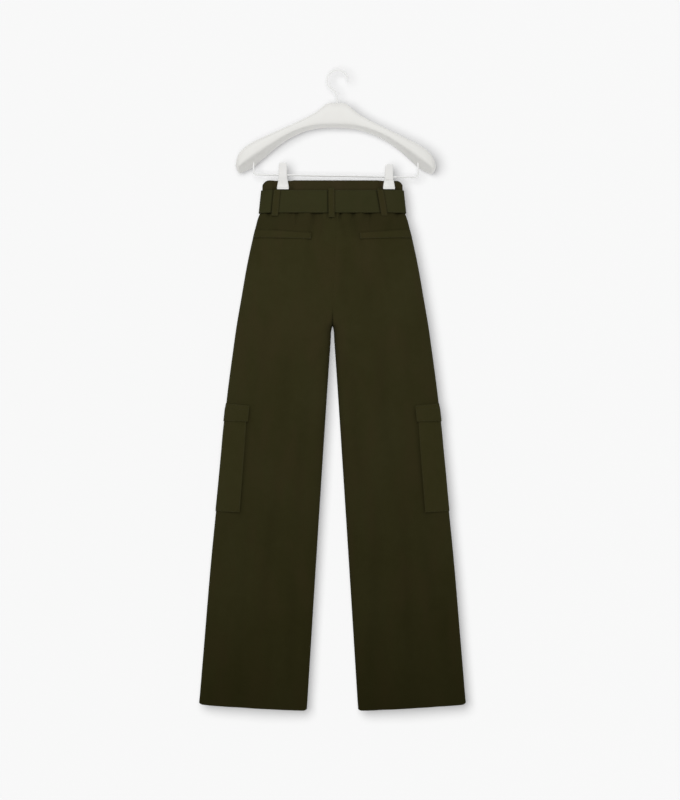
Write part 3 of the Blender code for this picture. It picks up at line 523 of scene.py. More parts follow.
# front and back panels
panels = {
    "steps": {-1: (108, 300), 1: (84, 270)},
    "wall": 0.0012,
    "edge": 0.0004,
    # share of the rows, height at the side seam
    "rows": [(0, -0.2983), (0.15, -0.350), (0.36, -0.500), (0.46, -0.560), (1, -1.348)],
    # how far the centre back seam leans: height, shift
    "seamLean": [(-0.560, 0.0), (-0.530, 0.0002), (-0.298, 0.0098)],
    "leanReach": 0.045,
    # x and z at both ends, width, depth, with x from the centre line
    "backCreases": [
        # gathers that gape under the belt
        (-0.1335, -0.288, -0.135, -0.317, 0.0046, 0.0026), (-0.115, -0.289, -0.1145, -0.31, 0.003, 0.0012),
        (-0.0755, -0.288, -0.0765, -0.317, 0.0032, 0.002), (-0.0405, -0.287, -0.042, -0.322, 0.0052, 0.0022),
        (-0.03, -0.288, -0.031, -0.314, 0.0036, 0.0014), (-0.0108, -0.287, -0.0122, -0.322, 0.0028, 0.0034),
        (0.0068, -0.287, 0.0082, -0.327, 0.0028, 0.0036), (0.028, -0.289, 0.029, -0.312, 0.0046, 0.001),
        (0.04, -0.288, 0.0412, -0.318, 0.0038, 0.0024), (0.069, -0.288, 0.0705, -0.318, 0.0054, 0.0016),
        (0.08, -0.287, 0.082, -0.32, 0.0058, 0.0018), (0.12, -0.289, 0.1208, -0.312, 0.0036, 0.001),
        (0.136, -0.288, 0.1378, -0.316, 0.0072, 0.0024),
        # soft runs below them
        (-0.033, -0.3, -0.062, -0.402, 0.008, 0.0012), (-0.015, -0.303, -0.034, -0.372, 0.005, 0.001),
        (0.012, -0.303, 0.037, -0.385, 0.006, 0.0011), (0.04, -0.302, 0.07, -0.398, 0.0075, 0.001),
        (-0.13, -0.302, -0.112, -0.372, 0.009, 0.0009), (0.126, -0.303, 0.112, -0.362, 0.008, 0.0009),
        (-0.096, -0.365, -0.104, -0.452, 0.011, 0.0009), (0.102, -0.368, 0.118, -0.47, 0.012, 0.001),
        (-0.05, -0.372, -0.056, -0.49, 0.012, 0.0008), (0.026, -0.392, 0.03, -0.52, 0.013, 0.0012),
        (0.07, -0.42, 0.076, -0.56, 0.014, 0.0012),
        # darts
        (-0.079, -0.28, -0.0788, -0.347, 0.0013, 0.0011), (0.079, -0.28, 0.0788, -0.346, 0.0013, 0.0011),
        # out of the fork
        (-0.01, -0.548, -0.062, -0.505, 0.0075, 0.0006), (0.009, -0.545, 0.056, -0.512, 0.007, 0.0007),
        (-0.016, -0.566, -0.074, -0.58, 0.008, 0.0009), (0.015, -0.57, 0.08, -0.596, 0.009, 0.0011),
        (-0.012, -0.59, -0.052, -0.64, 0.009, 0.0009), (0.014, -0.6, 0.046, -0.668, 0.01, 0.001),
        # long hanging runs, left leg
        (-0.048, -0.64, -0.078, -1.02, 0.012, 0.0012), (-0.09, -0.58, -0.112, -0.84, 0.014, 0.0012),
        (-0.138, -0.52, -0.162, -0.7, 0.012, 0.0009), (-0.124, -0.86, -0.15, -1.24, 0.015, 0.0014),
        (-0.082, -1.04, -0.098, -1.345, 0.013, 0.0014), (-0.176, -0.96, -0.204, -1.3, 0.014, 0.0012),
        (-0.218, -1.08, -0.242, -1.35, 0.011, 0.0009), (-0.132, -1.2, -0.14, -1.35, 0.009, 0.001),
        # long hanging runs, right leg
        (0.042, -0.66, 0.06, -0.94, 0.011, 0.0011), (0.098, -0.56, 0.13, -0.9, 0.015, 0.0014),
        (0.152, -0.54, 0.17, -0.69, 0.011, 0.0009), (0.084, -0.9, 0.1, -1.3, 0.014, 0.0013),
        (0.146, -0.93, 0.172, -1.34, 0.015, 0.0015), (0.194, -0.98, 0.216, -1.22, 0.013, 0.0012),
        (0.236, -1.12, 0.25, -1.35, 0.011, 0.001), (0.074, -1.16, 0.08, -1.35, 0.009, 0.001),
        # faint dents across, where the leg was folded over
        (-0.19, -0.985, -0.128, -1.012, 0.008, 0.0005), (0.12, -1.02, 0.196, -1.002, 0.009, 0.0005),
        (-0.118, -1.1, -0.078, -1.118, 0.007, 0.0004), (0.188, -1.15, 0.242, -1.138, 0.008, 0.0004)],
    "frontCreases": [
        (-0.119, -0.286, -0.12, -0.322, 0.006, 0.0024), (-0.094, -0.289, -0.093, -0.312, 0.0036, 0.001),
        (-0.061, -0.286, -0.06, -0.326, 0.0056, 0.0026), (0.021, -0.289, 0.022, -0.314, 0.0034, 0.0012),
        (0.055, -0.286, 0.0565, -0.322, 0.0054, 0.0026), (0.088, -0.289, 0.087, -0.312, 0.0036, 0.001),
        (0.1125, -0.287, 0.114, -0.32, 0.006, 0.0022), (-0.056, -0.302, -0.072, -0.41, 0.008, 0.0012),
        (0.052, -0.302, 0.068, -0.398, 0.0076, 0.0012), (-0.116, -0.304, -0.104, -0.38, 0.009, 0.0009),
        (0.11, -0.304, 0.101, -0.372, 0.0084, 0.0009), (0.024, -0.36, 0.03, -0.5, 0.012, 0.0009),
        (-0.07, -0.42, -0.076, -0.56, 0.013, 0.001), (-0.01, -0.548, -0.07, -0.508, 0.008, 0.0012),
        (0.009, -0.546, 0.064, -0.5, 0.008, 0.0013), (-0.014, -0.568, -0.082, -0.572, 0.008, 0.0011),
        (0.016, -0.572, 0.086, -0.584, 0.009, 0.0012), (-0.013, -0.596, -0.048, -0.66, 0.0095, 0.001),
        (0.014, -0.6, 0.052, -0.65, 0.0095, 0.001), (-0.1, -0.57, -0.124, -0.9, 0.015, 0.0014),
        (-0.056, -0.68, -0.076, -1.04, 0.013, 0.0012), (-0.136, -0.92, -0.16, -1.33, 0.015, 0.0014),
        (-0.09, -1.08, -0.1, -1.35, 0.012, 0.0012), (-0.2, -1.0, -0.226, -1.34, 0.013, 0.0012),
        (0.094, -0.59, 0.116, -0.88, 0.015, 0.0013), (0.052, -0.72, 0.07, -1.06, 0.012, 0.0012),
        (0.124, -0.9, 0.148, -1.3, 0.015, 0.0014), (0.086, -1.12, 0.092, -1.35, 0.011, 0.0011),
        (0.188, -0.98, 0.216, -1.35, 0.014, 0.0013)],
    # a crease waves along its run and has a low swell beside it, in crease widths and shares
    "creaseWave": (0.3, 5, 90),
    "creaseSwell": (0.4, 2.2, 1.3),
    # shares of its run over which a crease starts and ends
    "creaseEnds": ((-0.15, 0.25), (1.15, 0.55)),
    # slow unevenness below the waist: depth, pace, seed, lean towards the other axis
    "unevenAcross": (0.00032, 105, 3, 0.22),
    "unevenDown": (0.00022, 48, 8, 0.4),
    "unevenFrom": (-0.300, -0.330),
    # where the centre seam gives way to the inseam, its trough and the swell beside it: depth, place, width
    "centreSeam": (-0.560, -0.540),
    "seamTrough": (0.0004, 0.0, 0.0015),
    "seamSwell": (-0.0002, 0.0055, 0.003),
    # puckers: depth, pace, seed, place from the seam, reach
    "centrePucker": (0.0003, 330, 21, 0.0, 0.009),
    "inseamPucker": (0.0005, 240, 22, 0.010, 0.009),
    "sidePucker": (0.0004, 210, 23, 0.012, 0.010),
    # the hem's row of stitches: depth, height, width
    "hemRow": (0.0003, -1.306, 0.0016),
    # what lies on the panels: pockets as far as this from the side seam, welts outside a span, the fly
    "underPocket": {-1: 0.060, 1: 0.114},
    "pocketRows": (-0.955, -0.700),
    "betweenWelts": (-0.038, 0.051),
    "weltRows": (-0.367, -0.331),
    "underFly": (-0.046, 0.004),
    "flyEnd": -0.480,
    # slow wave of the open hem: reach up, depth, pace, seed
    "hemWave": (0.24, 0.0016, 62, 31),
    # rounded hem corners: reach across, lift, reach up
    "hemCorner": (0.008, 0.0030, 0.02),
    # each half stops short of the centre seam: depth, width
    "pressed": (0.0003, 0.002),
    # detail fades in over this depth from the seams
    "seamFlat": 0.006,
    # painted shade in a crease: slope, growth, most
    "creaseShade": (60, 24000, 0.6),
    # painted shade under the belt: share, from what height to what height, and how far out it grows stronger
    "beltShade": (0.30, -0.372, -0.325),
    "beltShadeSides": (0.010, 0.050),
    # painted shade on the right leg: share, more lower down between two heights, and how far out it is full
    "rightShade": 0.06,
    "legShade": (0.08, -0.950, -1.200),
    "rightEdge": 0.05,
    # painted shadow beside the pockets: how far from the side seam, width, share
    "pocketShade": {-1: (0.0525, 0.0045, 0.24), 1: (0.107, 0.0045, 0.22)},
    "pocketShadeRows": ((-0.955, -0.935), (-0.712, -0.728)),
    "shadeMost": 0.75,
}


def creaseDepth(face, x, z):
    deep = np.zeros(x.shape)
    sway, swayPace, swayStart = panels["creaseWave"]
    swellShare, swellPlace, swellWidth = panels["creaseSwell"]
    starts, ends = panels["creaseEnds"]
    for x0, z0, x1, z1, width, depth in panels["backCreases" if face < 0 else "frontCreases"]:
        runX, runZ = x1 - x0, z1 - z0
        long = runX * runX + runZ * runZ
        share = ((x - x0) * runX + (z - z0) * runZ) / long
        off = ((x - x0) * runZ - (z - z0) * runX) / math.sqrt(long)
        off = off + sway * width * np.sin(swayPace * share + swayStart * x0)
        profile = hump(off, width) - swellShare * hump(off - swellPlace * width, swellWidth * width)
        deep += depth * profile * ease(*starts, share) * ease(*ends, share)
    return deep


def underPatch(face, x, z, fromSide):
    # where a pocket, welt or placket lies on the panel, which then has no ridges of its own
    pocket = (fromSide < panels["underPocket"][face]) & within(panels["pocketRows"], z)
    if face > 0:
        return pocket | (within(panels["underFly"], x) & (z > panels["flyEnd"]))
    return pocket | (~within(panels["betweenWelts"], x) & within(panels["weltRows"], z))


def pucker(kind, z, fromSeam):
    depth, pace, seed, place, reach = panels[kind]
    return depth * ripple(z, pace, seed) * hump(fromSeam - place, reach)


def trough(kind, distance):
    depth, place, width = panels[kind]
    return depth * hump(distance - place, width)


def uneven(kind, face, along, other):
    depth, pace, seed, lean = panels[kind]
    return depth * ripple(along + lean * other, pace, seed + face)


def panelDetail(face, x, z, fromSide, fromMiddle):
    deep = creaseDepth(face, x, z)
    unevenness = uneven("unevenAcross", face, x, z) + uneven("unevenDown", face, z, x)
    deep += unevenness * ease(*panels["unevenFrom"], z)
    seam = ease(*panels["centreSeam"], z)
    centre = trough("seamTrough", fromMiddle) + trough("seamSwell", fromMiddle)
    deep += seam * (centre + pucker("centrePucker", z, fromMiddle))
    deep += (1 - seam) * pucker("inseamPucker", z, fromMiddle)
    deep += pucker("sidePucker", z, fromSide) + trough("hemRow", z)
    return np.where(underPatch(face, x, z, fromSide), np.maximum(deep, 0), deep)


def panelSurface(face, side):
    def surface(u, v):
        share = 0.5 * u + 0.25 * (1 - np.cos(math.pi * u))
        height = np.interp(v, *zip(*panels["rows"]))
        points = cloth(face, side * np.maximum(share, 1e-6), height)
        x, z = fromCentre(points)
        width = rowWidth(height)
        deep = panelDetail(face, x, z, (1 - share) * width, share * width)
        free = ease(0, panels["seamFlat"], np.abs(points[..., 1]))
        y = np.maximum(np.abs(points[..., 1]) - deep * free, trousers["seam"] / 2)
        reach, sway, pace, seed = panels["hemWave"]
        low = ease(trousers["hem"] + reach, trousers["hem"], height)
        points[..., 1] = face * y + sway * ripple(x, pace, seed + side) * low * low
        lean = readColumn(panels["seamLean"][::-1], 1, z) if face < 0 else 0
        points[..., 0] += lean * hump(x, panels["leanReach"])
        pressed, pressedWidth = panels["pressed"]
        points[..., 0] -= side * pressed * hump(x, pressedWidth) * (z > trousers["crotch"])
        near, lift, above = panels["hemCorner"]
        corner = np.clip(1 - np.minimum(share, 1 - share) * width / near, 0, 1) ** 2
        points[..., 2] += lift * corner * ease(trousers["hem"] + above, trousers["hem"], height)
        return points
    return surface


def foldShade(face):
    # painted shade: darker in the creases, under the belt, beside the pockets and down the right leg
    def shade(points):
        x, z = fromCentre(points)
        place, width, share = panels["pocketShade"][face]
        bottom, top = panels["pocketShadeRows"]
        fromPocket = halfWidth(z) - np.abs(x) - place
        besidePocket = share * hump(fromPocket, width) * ease(*bottom, z) * ease(*top, z)
        deep = creaseDepth(face, x, z)
        slope, growth, most = panels["creaseShade"]
        inCrease = np.minimum(slope * deep + growth * deep * np.abs(deep), most)
        share, low, high = panels["beltShade"]
        underBelt = share * ease(low, high, z) * (0.5 + 0.5 * ease(*panels["beltShadeSides"], np.abs(x)))
        share, high, low = panels["legShade"]
        rightLeg = (panels["rightShade"] + share * ease(high, low, z)) * ease(0, panels["rightEdge"], x)
        return np.clip(inCrease + underBelt + rightLeg + besidePocket, 0, panels["shadeMost"])
    return shade


for face, faceName in ((-1, "back"), (1, "front")):
    for side, sideName in ((-1, "left"), (1, "right")):
        name = faceName + "_" + sideName
        clothPiece(
            name, "_panel", panelSurface(face, side), panels["steps"][face], panels, (0, face, 0),
            oliveTwill, foldShade(face), side * -face)
print("panels laid")


# waistband
waistband = {
    "top": -0.2345,
    "corner": 0.0095,
    "cornerReach": 0.017,
    "cornerPower": 2.4,
    "wall": 0.0017,
    "edge": 0.0005,
    "steps": {-1: (150, 16), 1: (75, 16)},
    # ruffle: depth, pace, seed. top row of stitches: depth, how far down, width
    "ruffle": (0.0005, 420, 41),
    "topRow": (0.0006, 0.0075, 0.0012),
    # detail fades in from the first depth, over the second
    "fadeIn": (0.002, 0.006),
    # face, left and right end across
    "pieces": {
        "waistband_back": (-1, -1.0, 1.0),
        "waistband_front_left": (1, -1.0, -1e-4),
        "waistband_front_right": (1, 1e-4, 1.0)},
}


def bandSurface(face, left, right):
    def surface(u, v):
        across = mixed(left, right, u if face < 0 else 1 - u)
        inward = (1 - np.abs(across)) * trousers["sections"][0][1]
        fromCorner = np.clip(inward / waistband["cornerReach"], 0, 1)
        top = waistband["top"] - waistband["corner"] * (1 - fromCorner) ** waistband["cornerPower"]
        points = cloth(face, across, mixed(top, trousers["bandSeam"], v))
        depth, pace, seed = waistband["ruffle"]
        dent = raised(depth, points[..., 0], pace, seed + face)
        depth, down, width = waistband["topRow"]
        dent += depth * hump(points[..., 2] - top + down, width)
        start, reach = waistband["fadeIn"]
        points[..., 1] -= face * dent * ease(0, reach, np.abs(points[..., 1]) - start)
        return points
    return surface


for name, shape in waistband["pieces"].items():
    face = shape[0]
    clothPiece(
        name, "_strip", bandSurface(*shape), waistband["steps"][face], waistband, (0, face, 0), bandTwill)
print("waistband laid")


# belt
belt = {
    "top": -0.2555,
    "bottom": -0.304,
    "gap": 0.0008,
    "wall": 0.002,
    "edge": 0.0006,
    "layer": 0.0023,
    "steps": (720, 12),
    # depth, pace, seed
    "sag": (0.00018, 60, 51),
    # place from the centre line, lift
    "tongue": [
        (-0.034, 0.0008), (-0.026, 0.0008), (-0.006, 0.0087), (0.006, 0.0087),
        (0.022, 0.0031), (0.104, 0.0031)],
    "fixedEnd": [(-0.004, 0.0031), (0.012, 0.0008), (0.034, 0.0008)],
    # painted shadow beside each back loop, left and right: shift, width, share
    "loopShade": ((0.0010, 0.0021, 0.85), (-0.0004, 0.0015, 0.40)),
    "shadeMost": 0.9,
}


def beltGround(face, across, down):
    rows = [cloth(face, across, np.full(across.shape, belt[edge]), plain=True) for edge in ("top", "bottom")]
    return mixed(*rows, down[..., None])


def beltPlaces(u):
    # once round from the tongue's end: front to the left, across the back, front to the fixed end
    waist = trousers["sections"][0][1]
    tongueShare, fixedShare = belt["tongue"][-1][0] / waist, belt["fixedEnd"][0][0] / waist
    first, second = 1 + tongueShare, 2.0
    along = u * (first + second + 1 - fixedShare)
    onBack = (along > first) & (along < first + second)
    acrossBack = np.where(onBack, along - first - 1, 1 - (along - first - second))
    across = np.where(along <= first, tongueShare - along, acrossBack)
    tongueLift = np.interp(across * waist, *zip(*belt["tongue"]))
    fixedLift = np.interp(across * waist, *zip(*belt["fixedEnd"]))
    lift = np.where(along <= first, tongueLift, np.where(onBack, belt["gap"], fixedLift))
    return onBack, across, lift


def beltSurface(u, v):
    def ground(u, v):
        onBack, across, _ = beltPlaces(u)
        return np.where(onBack[..., None], beltGround(-1, across, v), beltGround(1, across, v))
    depth, pace, seed = belt["sag"]
    sag = depth * ripple(u, pace, seed) * np.sin(math.pi * v)
    return liftedOff(ground, u, v, beltPlaces(u)[2] + belt["wall"] + sag)


# belt loops
loops = {
    "wall": 0.0012,
    "edge": 0.0004,
    "tack": 0.0024,
    "topTackLift": 0.0011,
    "bottomTackLift": 0.0009,
    # how far the outer side lies above the inner side: over the belt's top, under it, at the lower tack
    "shoulders": (0.0009, -0.0006, -0.0004),
    # shifts along the loop over which its bends are rounded
    "rounding": (-0.016, -0.008, 0.0, 0.008, 0.016),
    "endSharpness": 60,
    "steps": (10, 60),
    # face, top x, bottom x, width, top, bottom, belt layers under it
    "pieces": {
        "loop_back_left": (-1, -0.1167, -0.1222, 0.0140, -0.2510, -0.3110, 1),
        "loop_back_centre": (-1, -0.0023, -0.0017, 0.0130, -0.2500, -0.3140, 1),
        "loop_back_right": (-1, 0.1003, 0.1105, 0.0130, -0.2500, -0.3110, 1),
        "loop_front_left": (1, -0.0720, -0.0730, 0.0120, -0.2500, -0.3110, 1),
        "loop_front_right": (1, 0.0720, 0.0730, 0.0120, -0.2500, -0.3110, 2)},
}


def loopSurface(face, topX, bottomX, width, top, bottom, layers):
    overBelt = belt["gap"] + layers * belt["layer"]
    over, under, tacked = loops["shoulders"]
    beltTop, beltBottom = belt["top"] + trousers["seam"], belt["bottom"] - trousers["seam"]
    topLift, bottomLift = loops["topTackLift"], loops["bottomTackLift"]
    # height, on the belt or not, lift
    stops = [
        (top, False, topLift), (beltTop + loops["wall"], False, topLift), (beltTop + over, True, overBelt),
        ((beltTop + beltBottom) / 2, True, overBelt), (beltBottom + under, True, overBelt),
        (bottom + loops["tack"] + tacked, False, bottomLift), (bottom, False, bottomLift)]
    keys = np.array([(top - stop[0]) / (top - bottom) for stop in stops])

    def stopPoints(stop, u):
        height, onBelt, lift = stop
        middle = topX + (bottomX - topX) * (top - height) / (top - bottom)
        heights = np.full(u.shape, height)
        down = np.full(u.shape, np.clip((belt["top"] - height) / (belt["top"] - belt["bottom"]), 0, 1))

        def ground(u, v):
            across = (middle + (u - 0.5) * -face * width) / halfWidth(heights)
            if not onBelt:
                return cloth(face, across, heights)
            points = beltGround(face, across, down)
            points[..., 2] = height
            return points
        return liftedOff(ground, u, u, lift + loops["wall"])

    def surface(u, v):
        rows = np.stack([stopPoints(stop, u) for stop in stops])
        total = 0
        for shift in loops["rounding"]:
            at = np.clip(v + shift * np.minimum(1, loops["endSharpness"] * np.minimum(v, 1 - v)), 0, 1)
            index = np.clip(np.searchsorted(keys, at) - 1, 0, len(keys) - 2)
            low = np.take_along_axis(rows, index[None, ..., None], 0)[0]
            high = np.take_along_axis(rows, index[None, ..., None] + 1, 0)[0]
            share = (at - keys[index]) / np.diff(keys)[index]
            total = total + mixed(low, high, share[..., None])
        return total / len(loops["rounding"])
    return surface


for name, shape in loops["pieces"].items():
    clothPiece(
        name, "_strip", loopSurface(*shape), loops["steps"], loops, (0, shape[0], 0), oliveTwill)
print("belt loops laid")


def beltShade(points):
    # painted shadow: the belt is darker where it goes under each loop, most of all on one side
    x, z = fromCentre(points)
    shade = np.zeros(x.shape)
    for face, topX, bottomX, width, top, bottom, _ in loops["pieces"].values():
        middle = topX + (bottomX - topX) * (top - z) / (top - bottom)
        for side, (shift, reach, share) in zip((1, -1), belt["loopShade"]):
            beside = share * hump(x - middle + side * width / 2 + shift, reach)
            shade += np.where(points[..., 1] * face > 0, beside, 0)
    return np.minimum(shade, belt["shadeMost"])


beltPiece = clothPiece("belt", "_strip", beltSurface, belt["steps"], belt, (0, -1, 0), beltTwill, beltShade)
print("belt laid")


# welts
welts = {
    "start": {-1: 0.0434, 1: 0.0570},
    "end": 0.9904,
    "top": (-0.347, -0.339),
    "bottom": (-0.361, -0.3575),
    "wall": 0.0011,
    "edge": 0.0003,
    "steps": (100, 16),
    # puff: height, share of the length over which it ends, share that ripples, pace, seed
    "puff": (0.0005, 0.04, 0.2, 30, 61),
    # painted shade along the top, the bottom and the inner end: width, share
    "shades": ((0.10, 1.0), (0.10, 0.6), (0.0016, 0.8)),
    "length": 0.118,
    "edgeShade": 0.58,
    # share that ripples, pace, seed
    "shadeRipple": (0.25, 26, 65),
    "shadeMost": 0.9,
    "sides": ((-1, "welt_left"), (1, "welt_right")),
}


def rippled(u, side, share, pace, seed):
    # mostly even, less by up to twice the share in places
    return 1 - share + share * ripple(u, pace, seed + side)


def weltSurface(side):
    def ground(u, v):
        start = welts["start"][side] / halfWidth(welts["top"][0])
        along = u if side > 0 else 1 - u
        height = mixed(mixed(*welts["top"], along), mixed(*welts["bottom"], along), v)
        return cloth(-1, side * mixed(start, welts["end"], along), height)

    def surface(u, v):
        height, end, *waves = welts["puff"]
        puff = height * np.sin(math.pi * v) * rippled(u, side, *waves) * ease(0, end, np.minimum(u, 1 - u))
        return laidOn(ground, u, v, welts, puff)
    return surface


def weltShade(side):
    # painted shade along the welt's edges, where its seams lie in shadow
    def shade(points):
        rows, columns = points.shape[:2]
        u, v = np.meshgrid(np.linspace(0, 1, columns), np.linspace(0, 1, rows))
        inner = (u if side > 0 else 1 - u) * welts["length"]
        offs = (v, 1 - v, inner)
        edges = sum(share * hump(off, width) for off, (width, share) in zip(offs, welts["shades"]))
        dark = welts["edgeShade"] * edges * rippled(u, side, *welts["shadeRipple"])
        return np.clip(dark, 0, welts["shadeMost"])
    return shade


for side, name in welts["sides"]:
    clothPiece(
        name, "_strip", weltSurface(side), welts["steps"], welts, (0, -1, 0), oliveTwill, weltShade(side))
print("welts laid")


# cargo pockets
pockets = {
    "flapTop": -0.712, "flapBottom": -0.746, "bagTop": -0.730, "bagBottom": -0.937,
    "back": 0.048, "front": 0.104, "overlap": 0.004,
    "lift": 0.0022, "liftTop": 0.55, "wall": 0.0011, "edge": 0.0004, "flapStep": 0.0035,
    "bagSteps": (96, 90), "flapSteps": (100, 22),
    # billow: height, pace, lean along and down, seed. curl: height, pace, seed
    "billow": (0.0011, 3.1, 2.4, 1.3, 71),
    "curl": (0.0009, 9, 81),
    # shares of the bag over which its billow starts: from the sewn edges, from the open top
    "sewnEdge": 0.04, "openTop": (0.06, 0.25),
    "flapTilt": 0.0045,
    "bagFlare": 0.09,
    "sides": ((-1, "left"), (1, "right")),
}


def pocketReach(side, u, back, front):
    # u runs anticlockwise round the side seam
    return -back + (back + front) * (u if side > 0 else 1 - u)


def pocketGround(side, top, bottom, back, front, tilt=0.0, flare=0.0):
    # the top is highest at the side seam
    def ground(u, v):
        reach = pocketReach(side, u, back, front)
        reach = np.where(reach < 0, reach * (1 + flare * v), reach)
        height = mixed(top, bottom, v) + tilt * (1 - np.minimum(np.abs(reach) / back, 1)) * (1 - v)
        across = side * (1 - np.abs(reach) / rowWidth(height))
        return np.where((reach < 0)[..., None], cloth(-1, across, height), cloth(1, across, height))
    return ground


def bagLift(side, u, height):
    reach = pocketReach(side, u, pockets["back"], pockets["front"])
    edgeShare = np.where(reach < 0, -reach / pockets["back"], reach / pockets["front"])
    down = ease(pockets["bagTop"], pockets["bagBottom"], height)
    return pockets["lift"] * mixed(pockets["liftTop"], 1, down) * ease(0, 1, edgeShare)


def bagSurface(side):
    top, bottom = pockets["bagTop"], pockets["bagBottom"]
    ground = pocketGround(side, top, bottom, pockets["back"], pockets["front"], flare=pockets["bagFlare"])

    def surface(u, v):
        inside = ease(0.0, pockets["sewnEdge"], np.minimum(1 - v, np.minimum(u, 1 - u)))
        height, pace, along, down, seed = pockets["billow"]
        billow = raised(height, u * along + v * down, pace, seed + side) * inside
        lift = bagLift(side, u, mixed(top, bottom, v)) + billow * ease(*pockets["openTop"], v)
        return laidOn(ground, u, v, pockets, lift)
    return surface


def flapSurface(side):
    top, bottom = pockets["flapTop"], pockets["flapBottom"]
    back, front = pockets["back"] + pockets["overlap"], pockets["front"] + pockets["overlap"]
    ground = pocketGround(side, top, bottom, back, front, pockets["flapTilt"])

    def surface(u, v):
        height = mixed(top, bottom, v)
        overBag = bagLift(side, u, height) + pockets["wall"] + trousers["seam"]
        rise = overBag * ease(top, pockets["bagTop"] + pockets["flapStep"], height)
        height, pace, seed = pockets["curl"]
        curl = raised(height, u, pace, seed + side) * ease(0.5, 1, v)
        return laidOn(ground, u, v, pockets, rise + curl)
    return surface


pocketPieces = {}
for side, sideName in pockets["sides"]:
    for kind, surface in (("bag", bagSurface(side)), ("flap", flapSurface(side))):
        name = "cargo_" + kind + "_" + sideName
        pocketPieces[name] = clothPiece(
            name, "_patch", surface, pockets[kind + "Steps"], pockets, (side, 0, 0), patchTwillPaintedLit)
print("cargo pockets laid")


# fly placket
fly = {
    "width": 0.038, "top": -0.3047, "bottom": -0.470, "curve": 0.030, "endShare": 0.25,
    "wall": 0.0011, "edge": 0.0003, "steps": (24, 90),
}


def flySurface(u, v):
    def ground(u, v):
        height = mixed(fly["top"], fly["bottom"], v)
        bend = np.clip(1 - (height - fly["bottom"]) / fly["curve"], 0, 1)
        width = fly["width"] * np.maximum(np.sqrt(1 - bend ** 2), fly["endShare"])
        return cloth(1, -(0.01 + 0.99 * u) * width / halfWidth(height), height)
    return laidOn(ground, u, v, fly)


flyPiece = clothPiece("fly_placket", "_patch", flySurface, fly["steps"], fly, (0, 1, 0), oliveTwill)
print("fly laid")


# stitching
stitching = {
    # pitch, length
    "plain": (0.0032, 0.0022),
    "loop": (0.0028, 0.0019),
    "tack": (0.0007, 0.0009),
    "weltEnd": (0.0012, 0.0012),
    "flyEnd": (0.0009, 0.0012),
    "width": 0.00042,
    "lift": 0.0001,
    # how far a row lies from the edge
    "inset": 0.0018,
    # height of the cloth, or its width and height
    "sizes": {"band": [0.062], "belt": [0.0485], "bag": [0.154, 0.207], "flap": [0.162, 0.034]},
    # the trousers hang flat, so depth counts more than width in telling out from in
    "depthWeight": 20,
    # how far rows stop short of the ends, and of the bag's open top, as shares of the cloth
    "bandEnd": {-1: 0.012, 1: 0.02},
    "beltEnd": 0.003,
    "bagTop": 0.08,
    # whole rows: across and down at both ends, kind of stitch
    "loopRows": [
        (0.16, 0.04, 0.16, 0.96, "loop"), (0.84, 0.04, 0.84, 0.96, "loop"),
        (0.12, 0.03, 0.88, 0.03, "tack"), (0.12, 0.97, 0.88, 0.97, "tack")],
    "weltRows": {
        -1: [(0.01, 0.90, 0.99, 0.90), (0.98, 0.08, 0.98, 0.92, "weltEnd")],
        1: [(0.01, 0.90, 0.99, 0.90), (0.02, 0.08, 0.02, 0.92, "weltEnd")]},
    "flyRows": [
        (0.93, 0.01, 0.93, 0.985), (0.78, 0.01, 0.78, 0.975), (0.08, 0.985, 0.93, 0.985, "flyEnd")],
    # second row on a flap, in insets from its top
    "flapSecond": 5,
}


def sewRow(made, surface, u0, v0, u1, v1, kind="plain"):
    # one straight row of stitches between two places on a surface
    pitch, length = stitching[kind]
    size = Matrix.Diagonal((length / 2, stitching["width"] / 2, stitching["width"] / 2, 1))
    aside, ahead = 2e-3, 1e-3

    def at(share):
        return mixed(u0, u1, share), mixed(v0, v1, share)

    share = np.linspace(0, 1, 600)
    run = runLengths(surface(*at(share)))
    picked = np.interp(np.arange(pitch / 2, run[-1], pitch), run, share)
    u, v = at(picked)
    acrossStep = surface(np.clip(u + aside, 0, 1), v) - surface(np.clip(u - aside, 0, 1), v)
    downStep = surface(u, np.clip(v + aside, 0, 1)) - surface(u, np.clip(v - aside, 0, 1))
    before, after = at(np.maximum(picked - ahead, 0)), at(np.minimum(picked + ahead, 1))
    headings = surface(*after) - surface(*before)
    for place, normal, heading in zip(surface(u, v), np.cross(acrossStep, downStep), headings):
        normal, heading = Vector(normal).normalized(), Vector(heading).normalized()
        side = normal.cross(heading).normalized()
        turn = Matrix((heading, side, heading.cross(side))).transposed().to_4x4()
        outwards = Vector((place[0] - trousers["centreX"], place[1] * stitching["depthWeight"], 0))
        out = -normal if normal.dot(outwards) < 0 else normal
        lay = Matrix.Translation(Vector(place) + out * stitching["lift"]) @ turn @ size
        bmesh.ops.create_icosphere(made, subdivisions=1, radius=1, matrix=lay)


def sewPiece(nodeName, surface, rows):
    # rows: u and v at both ends, kind of stitch
    made = bmesh.new()
    for row in rows:
        sewRow(made, surface, *row)
    finishPiece(nodeName + "_thread", made, oliveThread)


def insets(kind):
    # how far a row lies from the edges, as shares of the cloth
    return [stitching["inset"] / length for length in stitching["sizes"][kind]]


def sidesAndBottom(across, top, down):
    return [(across, top, across, 1 - down), (1 - across, top, 1 - across, 1 - down),
            (across, 1 - down, 1 - across, 1 - down)]


